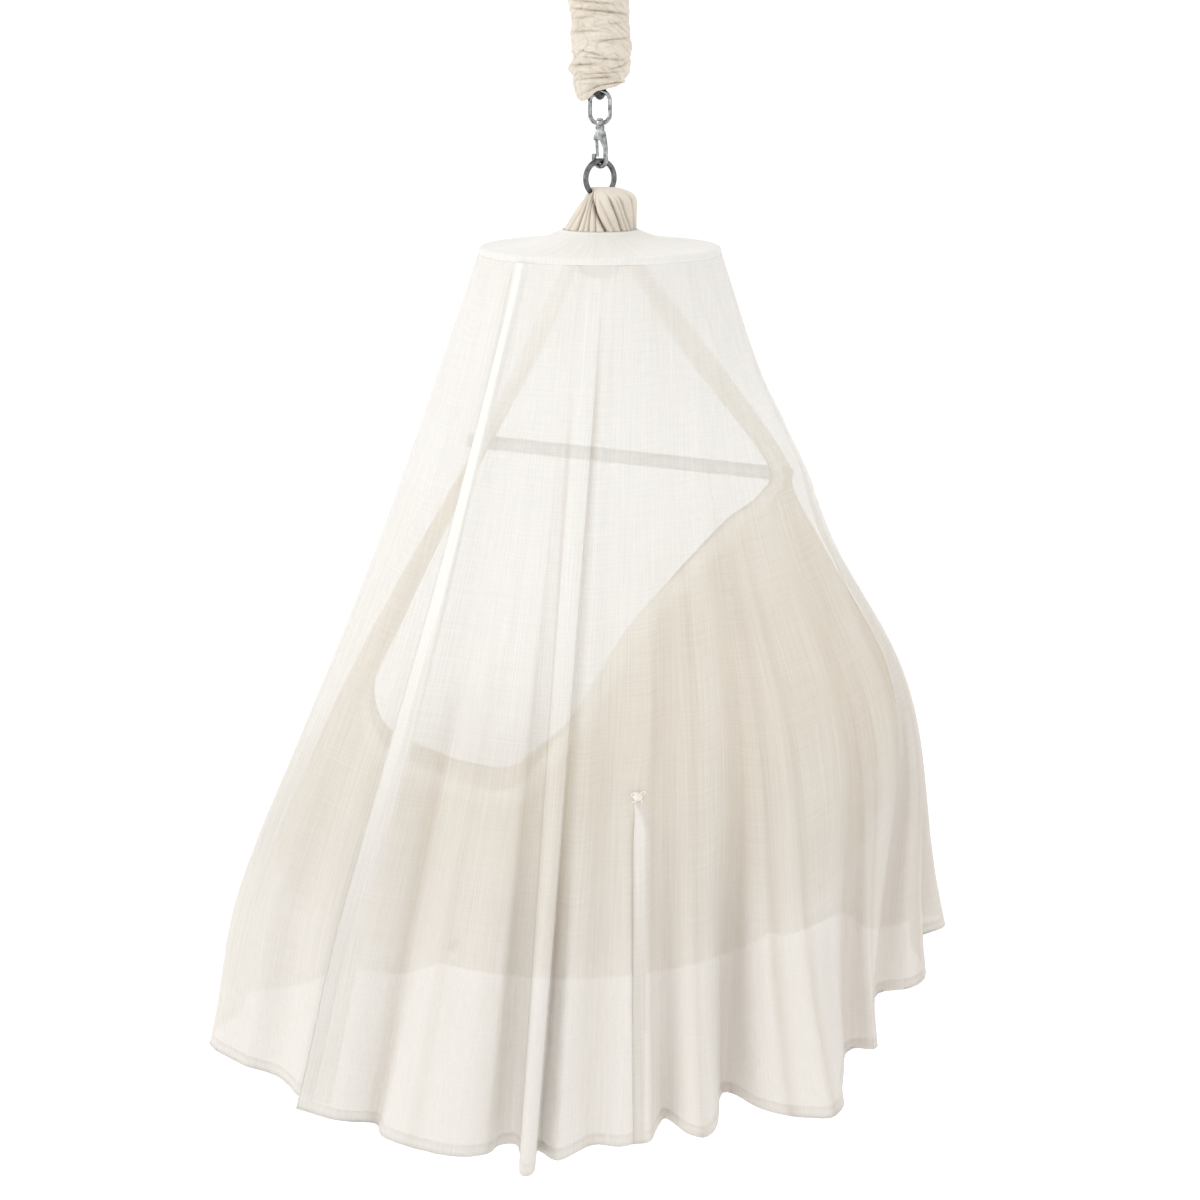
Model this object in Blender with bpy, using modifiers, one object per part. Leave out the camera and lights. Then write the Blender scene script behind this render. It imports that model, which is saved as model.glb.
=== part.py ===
"""Crib canopy: a sheer round-topped cotton skirt over a hanging cradle, with the steel hardware it hangs from.

Metres, +Z up. The world origin is the top of the hanging eye, the only place that something else holds.
Shapes are worked out from the centre of the hoop, which an empty carries below that origin.
X runs along the cradle, to its head end, and -Y is the front of the canopy.
"""

import math
from collections import namedtuple

import bmesh
import bpy
from mathutils import Matrix, Vector

MM = 0.001
GAP = 0.3 * MM

# Driving sizes of the canopy, heights counted from the centre of the hoop
HOOP_RADIUS = 147.5 * MM
HOOP_WIRE = 3.0 * MM
HOOP_DEPTH = 356.0 * MM
CLOTH = 1.5 * MM
CROWN_HOLE = 47.0 * MM
CROWN_RISE = 26.0 * MM
CROWN_EDGE = -3.8 * MM
SKIRT_TOP = CROWN_EDGE - GAP
SKIRT_RADIUS = 152.3 * MM
COLUMN_WIDTH = 30.0 * MM
ROW_COUNT = 15
SLIT_LAP = 14.0 * MM
SLIT_LIFT = 5.0 * MM
SLIT_FADE = 45.0 * MM
KNOT_LEVEL = -651.0 * MM
KNOT_SIZE = Vector((9.0, 3.4, 7.0)) * MM
KNOT_SEAT = 0.5 * MM

# Half-widths of the oval that the hem follows under its folds
HEM_LEFT = 0.512
HEM_RIGHT = 0.475
HEM_FRONT = 0.240
HEM_BACK = 0.250

# Driving sizes of the cradle and of the steel hardware
SLING_CLOTH = 2.5 * MM
RIM_DRAW = 0.77
BAR_RADIUS = 9.0 * MM
BAR_LEFT = Vector((-0.174, 0.084, -0.2585))
BAR_RIGHT = Vector((0.2480, 0.0, -0.2885))
NECK_TOP = 77.0 * MM
NECK_FOOT = -34.0 * MM
NECK_RADIUS = 44.6 * MM
NECK_RIBS = 13
RING_RADIUS = 21.5 * MM
RING_WIRE = 3.5 * MM
RING_HEIGHT = 88.1 * MM
RING_TURN = math.radians(35.0)
HOOK_TURN = math.radians(-30.0)
HOOK_TOP = 152.0 * MM
HOOK_WIRE = 3.0 * MM
EYE_WIDTH = 24.5 * MM
EYE_HEIGHT = 38.4 * MM
EYE_WIRE = 2.75 * MM
EYE_FOOT = 156.3 * MM
STEM_RADIUS = 2.2 * MM
RUNNING_GAP = 0.35 * MM
GATE_PIVOT = Vector((-5.0, 0.0, -11.0)) * MM
GATE_DEPTH = 2.6 * MM
GATE_WIDTH = 3.4 * MM
BOWL_RADIUS = 8.5 * MM
BOWL_CENTRE = Vector((0.0, 0.0, -40.7)) * MM
HANGING_EYE_RADIUS = 9.0 * MM
TOGGLE_SIZE = Vector((11.0, 4.5, 5.0)) * MM
TOGGLE_PLACE = (11.12, -0.49)
TOGGLE_SINK = 3.1 * MM
SHANK_WIRE = 4.0 * MM
SHANK_TURN = math.radians(68.0)
SPRING_LOOP = 11.0 * MM

VOILE = (0.93, 0.92, 0.89, 1.0)
CALICO = (0.80, 0.74, 0.64, 1.0)
STEEL = (0.60, 0.61, 0.62, 1.0)
DARK_STEEL = (0.16, 0.16, 0.17, 1.0)
WOOD = (0.55, 0.52, 0.48, 1.0)

# The lines that the skirt's cloth follows, from the front slit's upper edge once round to its lower edge.
# hoop: degrees round the hoop, 0 at the front and 90 at the right; start: height where the fold begins;
# x, y, z: where the line meets the hem. Heights and places are in millimetres.
Fold = namedtuple("Fold", "name hoop start x y z")
FOLDS = (
    Fold("slit_upper_edge", -40.5, -40, -387, -219, -1068),
    Fold("front_left_panel", -34.5, -40, -332, -222, -1082),
    Fold("left_valley", -28.9, -300, -288, -205, -1096),
    Fold("left_ridge", -27.0, -300, -272, -244, -1098),
    Fold("broad_ridge", -20.5, -260, -207, -262, -1110),
    Fold("broad_ridge_edge", -14.0, -200, -149, -256, -1115),
    Fold("pleat_recess", -11.0, -120, -128, -226, -1116),
    Fold("pleat_left_valley", -8.6, -90, -106, -224, -1119),
    Fold("pleat_left_edge", -7.0, -90, -102, -284, -1123),
    Fold("pleat_ridge", -3.0, -50, -92, -291, -1125),
    Fold("pleat_right_edge", 1.2, -50, -82, -282, -1122),
    Fold("pleat_right_valley", 3.2, -50, -80, -234, -1120),
    Fold("middle_ridge", 7.0, -60, -52, -263, -1118),
    Fold("middle_valley", 11.8, -300, -10, -236, -1112),
    Fold("knot_panel", 16.5, -300, 29, -248, -1107),
    Fold("second_slit", 19.5, -300, 55, -238, -1103),
    Fold("slit_ridge", 22.5, -280, 73, -246, -1096),
    Fold("slit_valley", 26.0, -280, 82, -205, -1088),
    Fold("right_front_ridge", 33.0, -240, 114, -246, -1091),
    Fold("right_front_edge", 39.5, -240, 144, -250, -1088),
    Fold("right_front_valley", 43.0, -260, 160, -168, -1071),
    Fold("wide_ridge", 48.0, -260, 207, -215, -1071),
    Fold("wide_ridge_middle", 54.0, -270, 263, -240, -1071),
    Fold("wide_ridge_edge", 60.0, -270, 306, -236, -1063),
    Fold("head_valley", 66.0, -280, 322, -120, -1036),
    Fold("head_ridge", 71.0, -280, 361, -125, -1025),
    Fold("right_valley", 77.0, -300, 364, -30, -998),
    Fold("right_ridge", 82.0, -300, 412, -32, -984),
    Fold("right_ridge_edge", 87.0, -300, 434, -6, -973),
    Fold("side_valley", 92.0, -320, 424, 74, -962),
    Fold("side_ridge", 99.0, -60, 470, 96, -948),
    Fold("side_ridge_edge", 107.0, -60, 462, 146, -952),
    Fold("back_right_valley", 115.0, -340, 380, 152, -975),
    Fold("back_right_ridge", 124.0, -300, 352, 236, -985),
    Fold("back_valley_one", 134.0, -280, 270, 206, -1005),
    Fold("back_ridge_one", 145.0, -240, 212, 272, -1020),
    Fold("back_valley_two", 156.0, -260, 132, 222, -1040),
    Fold("back_ridge_two", 166.0, -200, 82, 270, -1050),
    Fold("back_ridge_two_edge", 175.0, -200, 34, 276, -1055),
    Fold("back_valley_three", 185.0, -280, -22, 232, -1060),
    Fold("back_ridge_three", 195.0, -240, -74, 280, -1068),
    Fold("back_valley_four", 206.0, -300, -150, 224, -1066),
    Fold("back_ridge_four", 217.0, -220, -214, 262, -1070),
    Fold("back_valley_five", 228.0, -300, -292, 192, -1060),
    Fold("back_left_ridge", 240.0, -240, -368, 204, -1056),
    Fold("back_left_valley", 252.0, -320, -414, 118, -1044),
    Fold("left_side_ridge", 263.0, -60, -484, 78, -1040),
    Fold("left_side_valley", 270.0, -360, -478, 6, -1030),
    Fold("left_corner", 278.0, -60, -510, -88, -1033),
    Fold("foot_ridge", 289.0, -280, -466, -128, -1049),
    Fold("foot_valley", 299.0, -340, -424, -138, -1060),
    Fold("under_panel", 310.0, -300, -388, -178, -1068),
    Fold("slit_lower_edge", 323.0, -40, -346, -187, -1078),
)
SLIT_FOLD = "second_slit"
FOLD_EASE = 3.2

# Where the cradle pushes the cloth out: degrees round the hoop, height, push and how far it spreads.
Push = namedtuple("Push", "name hoop level push turn above below")
PUSHES = (
    Push("bar_end", 92.0, -285, 15, 24.0, 90, 70),
    Push("head_end", 94.0, -590, 70, 46.0, 200, 248),
    Push("foot_end", 272.0, -820, 38, 45.0, 300, 170),
)

# Cross-sections of the cradle's cloth, from the neck down its head end, under and up its foot end.
# keel: the outermost line; rim: the two free edges; middle, half: centre and half-width along Y.
Section = namedtuple("Section", "name keel_x keel_z rim_x rim_z middle half")
SECTIONS = (
    Section("neck_right", 24, 8, 12, 4, 0, 20),
    Section("right_leg_top", 62, -30, 44, -36, 0, 32),
    Section("right_leg", 142, -132, 112, -138, 0, 40),
    Section("bar_right", 236, -262, 212, -268, 0, 30),
    Section("below_bar_right", 250, -312, 206, -310, 0, 40),
    Section("head_shoulder", 300, -400, 158, -347, 0, 76),
    Section("head_end", 378, -545, 84, -427, 2, 118),
    Section("head_base", 392, -680, 30, -492, 4, 146),
    Section("head_floor", 330, -820, -26, -587, 2, 172),
    Section("seat", 196, -926, -70, -648, 0, 188),
    Section("middle", 10, -968, -116, -695, -2, 200),
    Section("leg_floor", -170, -960, -172, -691, -2, 190),
    Section("foot_floor", -330, -906, -232, -668, 0, 165),
    Section("foot_end", -426, -815, -284, -635, 0, 124),
    Section("foot_wall", -392, -690, -298, -572, 4, 88),
    Section("foot_rise", -316, -530, -262, -490, 22, 62),
    Section("foot_shoulder", -234, -385, -204, -372, 50, 46),
    Section("bar_left", -158, -259, -140, -255, 80, 30),
    Section("left_leg", -100, -140, -76, -136, 48, 34),
    Section("left_leg_foot", -50, -34, -34, -34, 14, 28),
    Section("neck_left", -24, 8, -12, 4, 0, 20),
)
SLING_ROWS = 40
SLING_COLUMNS = 10

# The ruched sleeve: height, radius and sideways shift of each crest and hollow, in millimetres.
Ruche = namedtuple("Ruche", "z radius shift")
RUCHES = (
    Ruche(187, 19, -4),
    Ruche(190, 24, -4),
    Ruche(199, 30, -3),
    Ruche(206, 34, -2),
    Ruche(213, 32, -1),
    Ruche(222, 38, -1),
    Ruche(232, 36, 1),
    Ruche(243, 39, 1),
    Ruche(252, 36, 2),
    Ruche(263, 38, 0),
    Ruche(275, 36, 1),
    Ruche(287, 39, 0),
    Ruche(299, 36, -1),
    Ruche(310, 37, -1),
    Ruche(320, 30, 0),
    Ruche(327, 14, 0),
    Ruche(328, 4.5, 0),
)
SLEEVE_SIDES = 18
SLEEVE_CLOTH = 2.2 * MM


def clear_scene():
    for item in list(bpy.data.objects):
        bpy.data.objects.remove(item, do_unlink=True)


def new_collection(name):
    collection = bpy.data.collections.new(name)
    bpy.context.scene.collection.children.link(collection)
    return collection


def new_material(name, color, roughness, metallic=0.0):
    material = bpy.data.materials.new(name)
    material.use_nodes = True
    shader = material.node_tree.nodes["Principled BSDF"]
    shader.inputs["Base Color"].default_value = color
    shader.inputs["Roughness"].default_value = roughness
    shader.inputs["Metallic"].default_value = metallic
    return material


def place(item, collection, parent, material=None):
    """Files an object under its collection, its parent empty and its material."""
    for owner in list(item.users_collection):
        owner.objects.unlink(item)
    collection.objects.link(item)
    item.parent = parent
    if material:
        item.data.materials.clear()
        item.data.materials.append(material)
    return item


def smooth_step(t):
    t = min(max(t, 0.0), 1.0)
    return t * t * (3.0 - 2.0 * t)


def through_points(values, t):
    """Catmull-Rom curve through a list of numbers or vectors; t counts from 0 to the last of them."""
    i = min(int(t), len(values) - 2)
    f = t - i
    before = values[max(i - 1, 0)]
    here = values[i]
    after = values[i + 1]
    beyond = values[min(i + 2, len(values) - 1)]
    return (
        here * (1.0 - 2.5 * f**2 + 1.5 * f**3)
        + after * (0.5 * f + 2.0 * f**2 - 1.5 * f**3)
        + before * (-0.5 * f + f**2 - 0.5 * f**3)
        + beyond * (-0.5 * f**2 + 0.5 * f**3)
    )


def mesh_object(name, verts, faces):
    mesh = bpy.data.meshes.new(name)
    mesh.from_pydata([tuple(v) for v in verts], [], faces)
    mesh.update()
    item = bpy.data.objects.new(name, mesh)
    bpy.context.scene.collection.objects.link(item)
    return item


def thicken(item, thickness, offset):
    """Gives an open sheet its thickness; offset -1 keeps the sheet as the outer face."""
    solid = item.modifiers.new("thickness", "SOLIDIFY")
    solid.thickness = thickness
    solid.offset = offset
    solid.use_rim = True
    solid.use_quality_normals = True
    return item


def boolean(item, other, operation):
    step = item.modifiers.new(operation.lower(), "BOOLEAN")
    step.operation = operation
    step.solver = "EXACT"
    step.object = other


def as_cutter(item, collection, parent):
    place(item, collection, parent)
    item.hide_render = True
    item.display_type = "WIRE"
    return item


def curve_tube(name, points, radius, closed=False, resolution=2):
    """A round wire along a list of points, made a closed mesh so that it can be cut or joined."""
    curve = bpy.data.curves.new(name, "CURVE")
    curve.dimensions = "3D"
    curve.bevel_depth = radius
    curve.bevel_resolution = resolution
    curve.use_fill_caps = True
    spline = curve.splines.new("POLY")
    spline.points.add(len(points) - 1)
    for target, point in zip(spline.points, points):
        target.co = (*point, 1.0)
    spline.use_cyclic_u = closed
    source = bpy.data.objects.new(name, curve)
    bpy.context.scene.collection.objects.link(source)
    bpy.context.view_layer.update()
    evaluated = source.evaluated_get(bpy.context.evaluated_depsgraph_get())
    mesh = bpy.data.meshes.new_from_object(evaluated)
    cleaned = bmesh.new()
    cleaned.from_mesh(mesh)
    bmesh.ops.remove_doubles(cleaned, verts=cleaned.verts, dist=0.00001)
    bmesh.ops.recalc_face_normals(cleaned, faces=cleaned.faces)
    cleaned.to_mesh(mesh)
    cleaned.free()
    bpy.data.objects.remove(source, do_unlink=True)
    item = bpy.data.objects.new(name, mesh)
    bpy.context.scene.collection.objects.link(item)
    return item


def cylinder(name, radius, depth, centre, sides=20, turn=None):
    bpy.ops.mesh.primitive_cylinder_add(vertices=sides, radius=radius, depth=depth, location=centre)
    item = bpy.context.object
    item.name = name
    if turn:
        item.rotation_euler = turn
    return item


def turned(name, profile, sides=20):
    """A solid of revolution about Z from its outer profile, given top to bottom as (radius, height)."""
    item = mesh_object(name, [(r, 0.0, z) for r, z in profile], [])
    mesh = item.data
    mesh.edges.add(len(profile) - 1)
    for i, edge in enumerate(mesh.edges):
        edge.vertices = (i, i + 1)
    screw = item.modifiers.new("turn", "SCREW")
    screw.steps = sides
    screw.render_steps = sides
    screw.use_merge_vertices = True
    screw.merge_threshold = 0.00001
    return item


def arc(centre, radius, first, last, count, tilt=0.0):
    """Points on an arc in the XZ plane turned by tilt about Z; angles in degrees from +X towards +Z."""
    points = []
    for i in range(count):
        angle = math.radians(first + (last - first) * i / (count - 1))
        flat = Vector((radius * math.cos(angle), 0.0, radius * math.sin(angle)))
        points.append(Vector(centre) + Matrix.Rotation(tilt, 3, "Z") @ flat)
    return points


def hem_oval(x, y):
    """Splits a hem point into the oval's own point and how far a fold stands in or out of it."""
    wide = HEM_RIGHT if x > 0.0 else HEM_LEFT
    deep = HEM_BACK if y > 0.0 else HEM_FRONT
    reach = math.hypot(x / wide, y / deep)
    on_oval = Vector((x / reach, y / reach))
    return on_oval, Vector((x, y)) - on_oval


def push_out(hoop_degrees, level):
    """How far the cradle holds the cloth out at this place."""
    total = 0.0
    for bump in PUSHES:
        turn = (hoop_degrees - bump.hoop + 180.0) % 360.0 - 180.0
        above = level - bump.level * MM
        spread = bump.above if above > 0.0 else bump.below
        total += bump.push * MM * math.exp(-((turn / bump.turn) ** 2) - (above / (spread * MM)) ** 2)
    return total


def skirt_point(line, v):
    """A point of the skirt: line counts along FOLDS, v runs from 0 at the hoop to 1 at the hem."""
    hoop = through_points([f.hoop for f in FOLDS], line)
    start = through_points([f.start * MM for f in FOLDS], line)
    hem = through_points([Vector((f.x, f.y, f.z)) * MM for f in FOLDS], line)
    on_oval, fold = hem_oval(hem.x, hem.y)
    angle = math.radians(hoop)
    rim = Vector((math.sin(angle), -math.cos(angle))) * SKIRT_RADIUS
    level = SKIRT_TOP + (hem.z - SKIRT_TOP) * v
    below = max(0.0, (level - start) / (hem.z - start))
    grown = below ** (1.0 - FOLD_EASE * start)
    flat = rim.lerp(on_oval, v) + fold * grown
    outward = rim.lerp(on_oval, v).normalized()
    flat += outward * push_out(hoop, level)
    return Vector((flat.x, flat.y, level))


def skirt_columns():
    """Where the skirt's columns of points run, closer together where the hem folds tightly."""
    hems = [Vector((f.x, f.y)) * MM for f in FOLDS]
    columns = []
    for i in range(len(FOLDS) - 1):
        steps = max(1, round((hems[i + 1] - hems[i]).length / COLUMN_WIDTH))
        columns += [i + k / steps for k in range(steps)]
    return columns + [float(len(FOLDS) - 1)]


def lap_shift(line, v, edge_line, side, depth):
    """Moves the cloth beside a slit so that one edge lies over the other; side is 1 on the upper one."""
    point = skirt_point(line, v)
    edge = skirt_point(edge_line, v)
    near = smooth_step(1.0 - (point - edge).length / SLIT_FADE)
    ahead = skirt_point(min(edge_line + 0.3, len(FOLDS) - 1.0), v)
    behind = skirt_point(max(edge_line - 0.3, 0.0), v)
    along = (ahead - behind).normalized()
    outward = Vector((along.y, -along.x, 0.0)).normalized()
    if side > 0:
        return (outward * SLIT_LIFT - along * SLIT_LAP) * near * depth
    return -outward * SLIT_LIFT * near * depth * 0.4


def skirt(material, collection, parent):
    """The whole skirt as one sheet: its front slit open all the way, its second slit open below the knot."""
    columns = skirt_columns()
    slit_line = [f.name for f in FOLDS].index(SLIT_FOLD)
    slit_column = columns.index(float(slit_line))
    hem_level = FOLDS[slit_line].z * MM
    knot_v = (KNOT_LEVEL - SKIRT_TOP) / (hem_level - SKIRT_TOP)
    knot_row = round(knot_v * ROW_COUNT)
    verts = []
    left_of = {}
    right_of = {}
    for row in range(ROW_COUNT + 1):
        v = row / ROW_COUNT
        opened = smooth_step((row - knot_row) / 2.0)
        for column, line in enumerate(columns):
            base = skirt_point(line, v)
            top_lift = 2.4 * MM * smooth_step(1.0 - column / 8.0)
            outward = Vector((base.x, base.y, 0.0)).normalized()
            base += outward * top_lift
            split = row > knot_row
            under = base + lap_shift(line, v, slit_line, -1, opened) if split else base
            over = base + lap_shift(line, v, slit_line, 1, opened) if split else base
            if column <= slit_column:
                left_of[row, column] = len(verts)
                verts.append(under)
            if column > slit_column or (column == slit_column and split):
                right_of[row, column] = len(verts)
                verts.append(over)
            elif column == slit_column:
                right_of[row, column] = left_of[row, column]
    faces = []
    for row in range(ROW_COUNT):
        for column in range(len(columns) - 1):
            side = left_of if column < slit_column else right_of
            faces.append((side[row, column], side[row + 1, column], side[row + 1, column + 1], side[row, column + 1]))
    item = mesh_object("skirt", verts, faces)
    thicken(item, CLOTH, -1.0)
    item.data.shade_smooth()
    return place(item, collection, parent, material)


def crown(material, collection, parent):
    """The round top: slack cloth from the hole's rim to the hoop, rolled over it and down its outer side."""
    outer = HOOP_RADIUS + HOOP_WIRE + GAP + CLOTH
    roll = HOOP_WIRE + GAP + CLOTH
    profile = []
    for i in range(5):
        t = i / 4.0
        radius = CROWN_HOLE + (HOOP_RADIUS - CROWN_HOLE) * t
        profile.append((radius, roll + (CROWN_RISE - roll) * (1.0 - t) ** 2.2))
    for angle in (50.0, 0.0):
        turn = math.radians(angle)
        profile.append((HOOP_RADIUS + roll * math.cos(turn), roll * math.sin(turn)))
    profile.append((outer, CROWN_EDGE))
    item = mesh_object("crown", [(r, 0.0, z) for r, z in profile], [])
    item.data.edges.add(len(profile) - 1)
    for i, edge in enumerate(item.data.edges):
        edge.vertices = (i, i + 1)
    screw = item.modifiers.new("turn", "SCREW")
    screw.steps = 40
    screw.render_steps = 40
    screw.use_merge_vertices = True
    screw.merge_threshold = 0.00001
    thicken(item, CLOTH, -1.0)
    item.data.shade_smooth()
    return place(item, collection, parent, material)


def hoop(material, collection, parent):
    bpy.ops.mesh.primitive_torus_add(
        major_radius=HOOP_RADIUS, minor_radius=HOOP_WIRE, major_segments=40, minor_segments=8
    )
    item = bpy.context.object
    item.name = "hoop"
    item.data.shade_smooth()
    return place(item, collection, parent, material)


def knot(material, collection, parent):
    """The gathered knot of thread that stops the second slit, seated on the cloth in front of it."""
    slit_line = [f.name for f in FOLDS].index(SLIT_FOLD)
    hem_level = FOLDS[slit_line].z * MM
    v = (KNOT_LEVEL - SKIRT_TOP) / (hem_level - SKIRT_TOP)
    seat = skirt_point(slit_line - 0.45, v)
    outward = Vector((0.0, -1.0, 0.0))
    bpy.ops.mesh.primitive_uv_sphere_add(segments=12, ring_count=8, radius=1.0)
    item = bpy.context.object
    item.name = "slit_knot"
    item.data.transform(Matrix.Diagonal((*KNOT_SIZE, 1.0)))
    item.location = seat + outward * (KNOT_SIZE.y + KNOT_SEAT)
    item.rotation_euler = (0.0, 0.5, 0.0)
    item.data.shade_smooth()
    return place(item, collection, parent, material)


def sling_point(s, t):
    """A point of the cradle's cloth: s counts along SECTIONS, t runs from -1 at the front rim to 1.

    The walls lean in over the pouch, because the empty cloth draws its two rims together.
    """
    row = [through_points([getattr(section, field) * MM for section in SECTIONS], s) for field in Section._fields[1:]]
    keel_x, keel_z, rim_x, rim_z, middle, half = row
    turn = t * math.pi / 2.0
    to_rim = 1.0 - math.cos(turn)
    return Vector(
        (
            keel_x + (rim_x - keel_x) * to_rim,
            middle + half * math.sin(turn) * (1.0 - RIM_DRAW * to_rim**2),
            keel_z + (rim_z - keel_z) * to_rim,
        )
    )


def neck_point(turn, height):
    """A point of the gathered neck: ribbed, rounded at the top where it goes through the ring."""
    t = (height - NECK_FOOT) / (NECK_TOP - NECK_FOOT)
    radius = NECK_RADIUS * (1.0 - 0.55 * max(0.0, 1.0 - t / 0.35) ** 2)
    crest = max(0.0, (t - 0.72) / 0.28)
    radius *= math.sqrt(max(0.0, 1.0 - 0.93 * crest**3))
    ribs = 1.3 * MM * math.sin(NECK_RIBS * turn + 0.6 * math.sin(2.0 * turn)) * (1.0 - crest)
    return Vector(((radius + ribs) * math.cos(turn), (radius + ribs) * math.sin(turn), height))


def neck(collection, parent):
    """The solid bundle of gathered cloth that stands up through the crown's hole."""
    sides = 2 * NECK_RIBS
    rows = (0.0, 0.12, 0.28, 0.45, 0.56, 0.68, 0.8, 0.9, 0.97, 1.0)
    verts = []
    for share in rows:
        height = NECK_FOOT + (NECK_TOP - NECK_FOOT) * share
        verts += [neck_point(2.0 * math.pi * (i + 0.25) / sides, height) for i in range(sides)]
    faces = [tuple(range(sides))[::-1]]
    for row in range(len(rows) - 1):
        for i in range(sides):
            a = row * sides + i
            b = row * sides + (i + 1) % sides
            faces.append((a, b, b + sides, a + sides))
    top = (len(rows) - 1) * sides
    faces.append(tuple(range(top, top + sides)))
    return as_cutter(mesh_object("neck_bundle", verts, faces), collection, parent)


def sling(material, collection, cutters, parent):
    """The cradle's one piece of cloth: gathered neck, two legs, and the pouch, open at front and back."""
    last = len(SECTIONS) - 1.0
    verts = []
    faces = []
    width = SLING_COLUMNS + 1
    for row in range(SLING_ROWS + 1):
        for column in range(width):
            verts.append(sling_point(last * row / SLING_ROWS, -1.0 + 2.0 * column / SLING_COLUMNS))
    for row in range(SLING_ROWS):
        for column in range(SLING_COLUMNS):
            a = row * width + column
            faces.append((a, a + 1, a + 1 + width, a + width))
    item = mesh_object("sling", verts, faces)
    thicken(item, SLING_CLOTH, 0.0)
    boolean(item, neck(cutters, parent), "UNION")
    bpy.ops.mesh.primitive_torus_add(
        major_radius=RING_RADIUS,
        minor_radius=RING_WIRE + GAP,
        major_segments=24,
        minor_segments=8,
        location=(0.0, 0.0, RING_HEIGHT),
        rotation=(math.pi / 2.0, 0.0, RING_TURN),
    )
    boolean(item, as_cutter(bpy.context.object, cutters, parent), "DIFFERENCE")
    along = (BAR_RIGHT - BAR_LEFT).normalized()
    hole = bar_body("bar_hole", BAR_RADIUS + GAP, BAR_LEFT - along * 0.02, BAR_RIGHT + along * 0.02)
    boolean(item, as_cutter(hole, cutters, parent), "DIFFERENCE")
    item.data.shade_smooth()
    return place(item, collection, parent, material)


def bar_body(name, radius, first, last):
    along = last - first
    item = cylinder(name, radius, along.length, (first + last) / 2.0, sides=16)
    item.rotation_euler = along.to_track_quat("Z", "Y").to_euler()
    return item


def spreader_bar(material, collection, parent):
    item = bar_body("spreader_bar", BAR_RADIUS, BAR_LEFT, BAR_RIGHT)
    edge = item.modifiers.new("edges", "BEVEL")
    edge.width = 2.0 * MM
    edge.segments = 2
    edge.limit_method = "ANGLE"
    item.data.shade_smooth()
    return place(item, collection, parent, material)


def ring(material, collection, parent):
    bpy.ops.mesh.primitive_torus_add(
        major_radius=RING_RADIUS, minor_radius=RING_WIRE, major_segments=24, minor_segments=8
    )
    item = bpy.context.object
    item.name = "ring"
    item.location = (0.0, 0.0, RING_HEIGHT)
    item.rotation_euler = (math.pi / 2.0, 0.0, RING_TURN)
    item.data.shade_smooth()
    return place(item, collection, parent, material)


def swivel_eye(material, collection, cutters, parent):
    """The bail above the snap hook: a round wire, flat at its foot, with a boss for the hook's stem."""
    half = EYE_WIDTH / 2.0
    top = EYE_FOOT + EYE_HEIGHT - half
    points = arc((0.0, 0.0, top), half, 180.0, 0.0, 11)
    points.append(Vector((half, 0.0, EYE_FOOT + 9.0 * MM)))
    points.append(Vector((half - 2.0 * MM, 0.0, EYE_FOOT + 4.0 * MM)))
    points.append(Vector((half - 6.0 * MM, 0.0, EYE_FOOT)))
    points.append(Vector((-half + 6.0 * MM, 0.0, EYE_FOOT)))
    points.append(Vector((-half + 2.0 * MM, 0.0, EYE_FOOT + 4.0 * MM)))
    points.append(Vector((-half, 0.0, EYE_FOOT + 9.0 * MM)))
    item = curve_tube("swivel_eye", points, EYE_WIRE, closed=True)
    boss = cylinder("eye_boss", 5.5 * MM, 6.0 * MM, (0.0, 0.0, EYE_FOOT))
    boolean(item, as_cutter(boss, cutters, parent), "UNION")
    hole = cylinder("eye_hole", STEM_RADIUS + RUNNING_GAP, 20.0 * MM, (0.0, 0.0, EYE_FOOT))
    boolean(item, as_cutter(hole, cutters, parent), "DIFFERENCE")
    item.data.shade_smooth()
    return place(item, collection, parent, material)


def hook_body(material, collection, cutters, parent):
    """The snap hook: rivet head and stem, forked shoulder with the gate's pin, spine, bowl and nose."""
    head = 4.3 * MM
    collar = 5.8 * MM
    boss_top = EYE_FOOT + 3.0 * MM - HOOK_TOP
    profile = [
        (0.0, boss_top + GAP + 2.2 * MM),
        (0.75 * head, boss_top + GAP + 2.2 * MM),
        (head, boss_top + GAP + 1.4 * MM),
        (head, boss_top + GAP),
        (STEM_RADIUS, boss_top + GAP),
        (STEM_RADIUS, boss_top - 6.0 * MM - GAP),
        (collar, boss_top - 6.0 * MM - GAP),
        (collar, -4.0 * MM),
        (0.0, -4.0 * MM),
    ]
    spine = [Vector((4.5, 0.0, -7.0)) * MM, Vector((6.4, 0.0, -16.0)) * MM, Vector((7.9, 0.0, -27.0)) * MM]
    spine += arc(BOWL_CENTRE, BOWL_RADIUS, 18.0, -180.0, 13)
    spine.append(Vector((-8.5, 0.0, -33.8)) * MM)
    item = curve_tube("hook_body", spine, HOOK_WIRE)
    shoulder = box("hook_shoulder", (16.4 * MM, 6.4 * MM, 15.0 * MM), (0.2 * MM, 0.0, -10.0 * MM), 1.2 * MM)
    boolean(item, as_cutter(shoulder, cutters, parent), "UNION")
    boolean(item, as_cutter(turned("hook_stem", profile), cutters, parent), "UNION")
    slot_depth = GATE_DEPTH + 2.0 * RUNNING_GAP
    slot = box("gate_slot", (9.2 * MM, slot_depth, 14.0 * MM), (-5.2 * MM, 0.0, -14.2 * MM), 0.0)
    boolean(item, as_cutter(slot, cutters, parent), "DIFFERENCE")
    pin = cylinder("gate_pin", 1.2 * MM, 5.6 * MM, GATE_PIVOT, 12, (math.pi / 2.0, 0.0, 0.0))
    boolean(item, as_cutter(pin, cutters, parent), "UNION")
    for part in (item, shoulder, slot, pin, bpy.data.objects["hook_stem"]):
        turn_with_hook(part)
    item.data.shade_smooth()
    return place(item, collection, parent, material)


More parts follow.
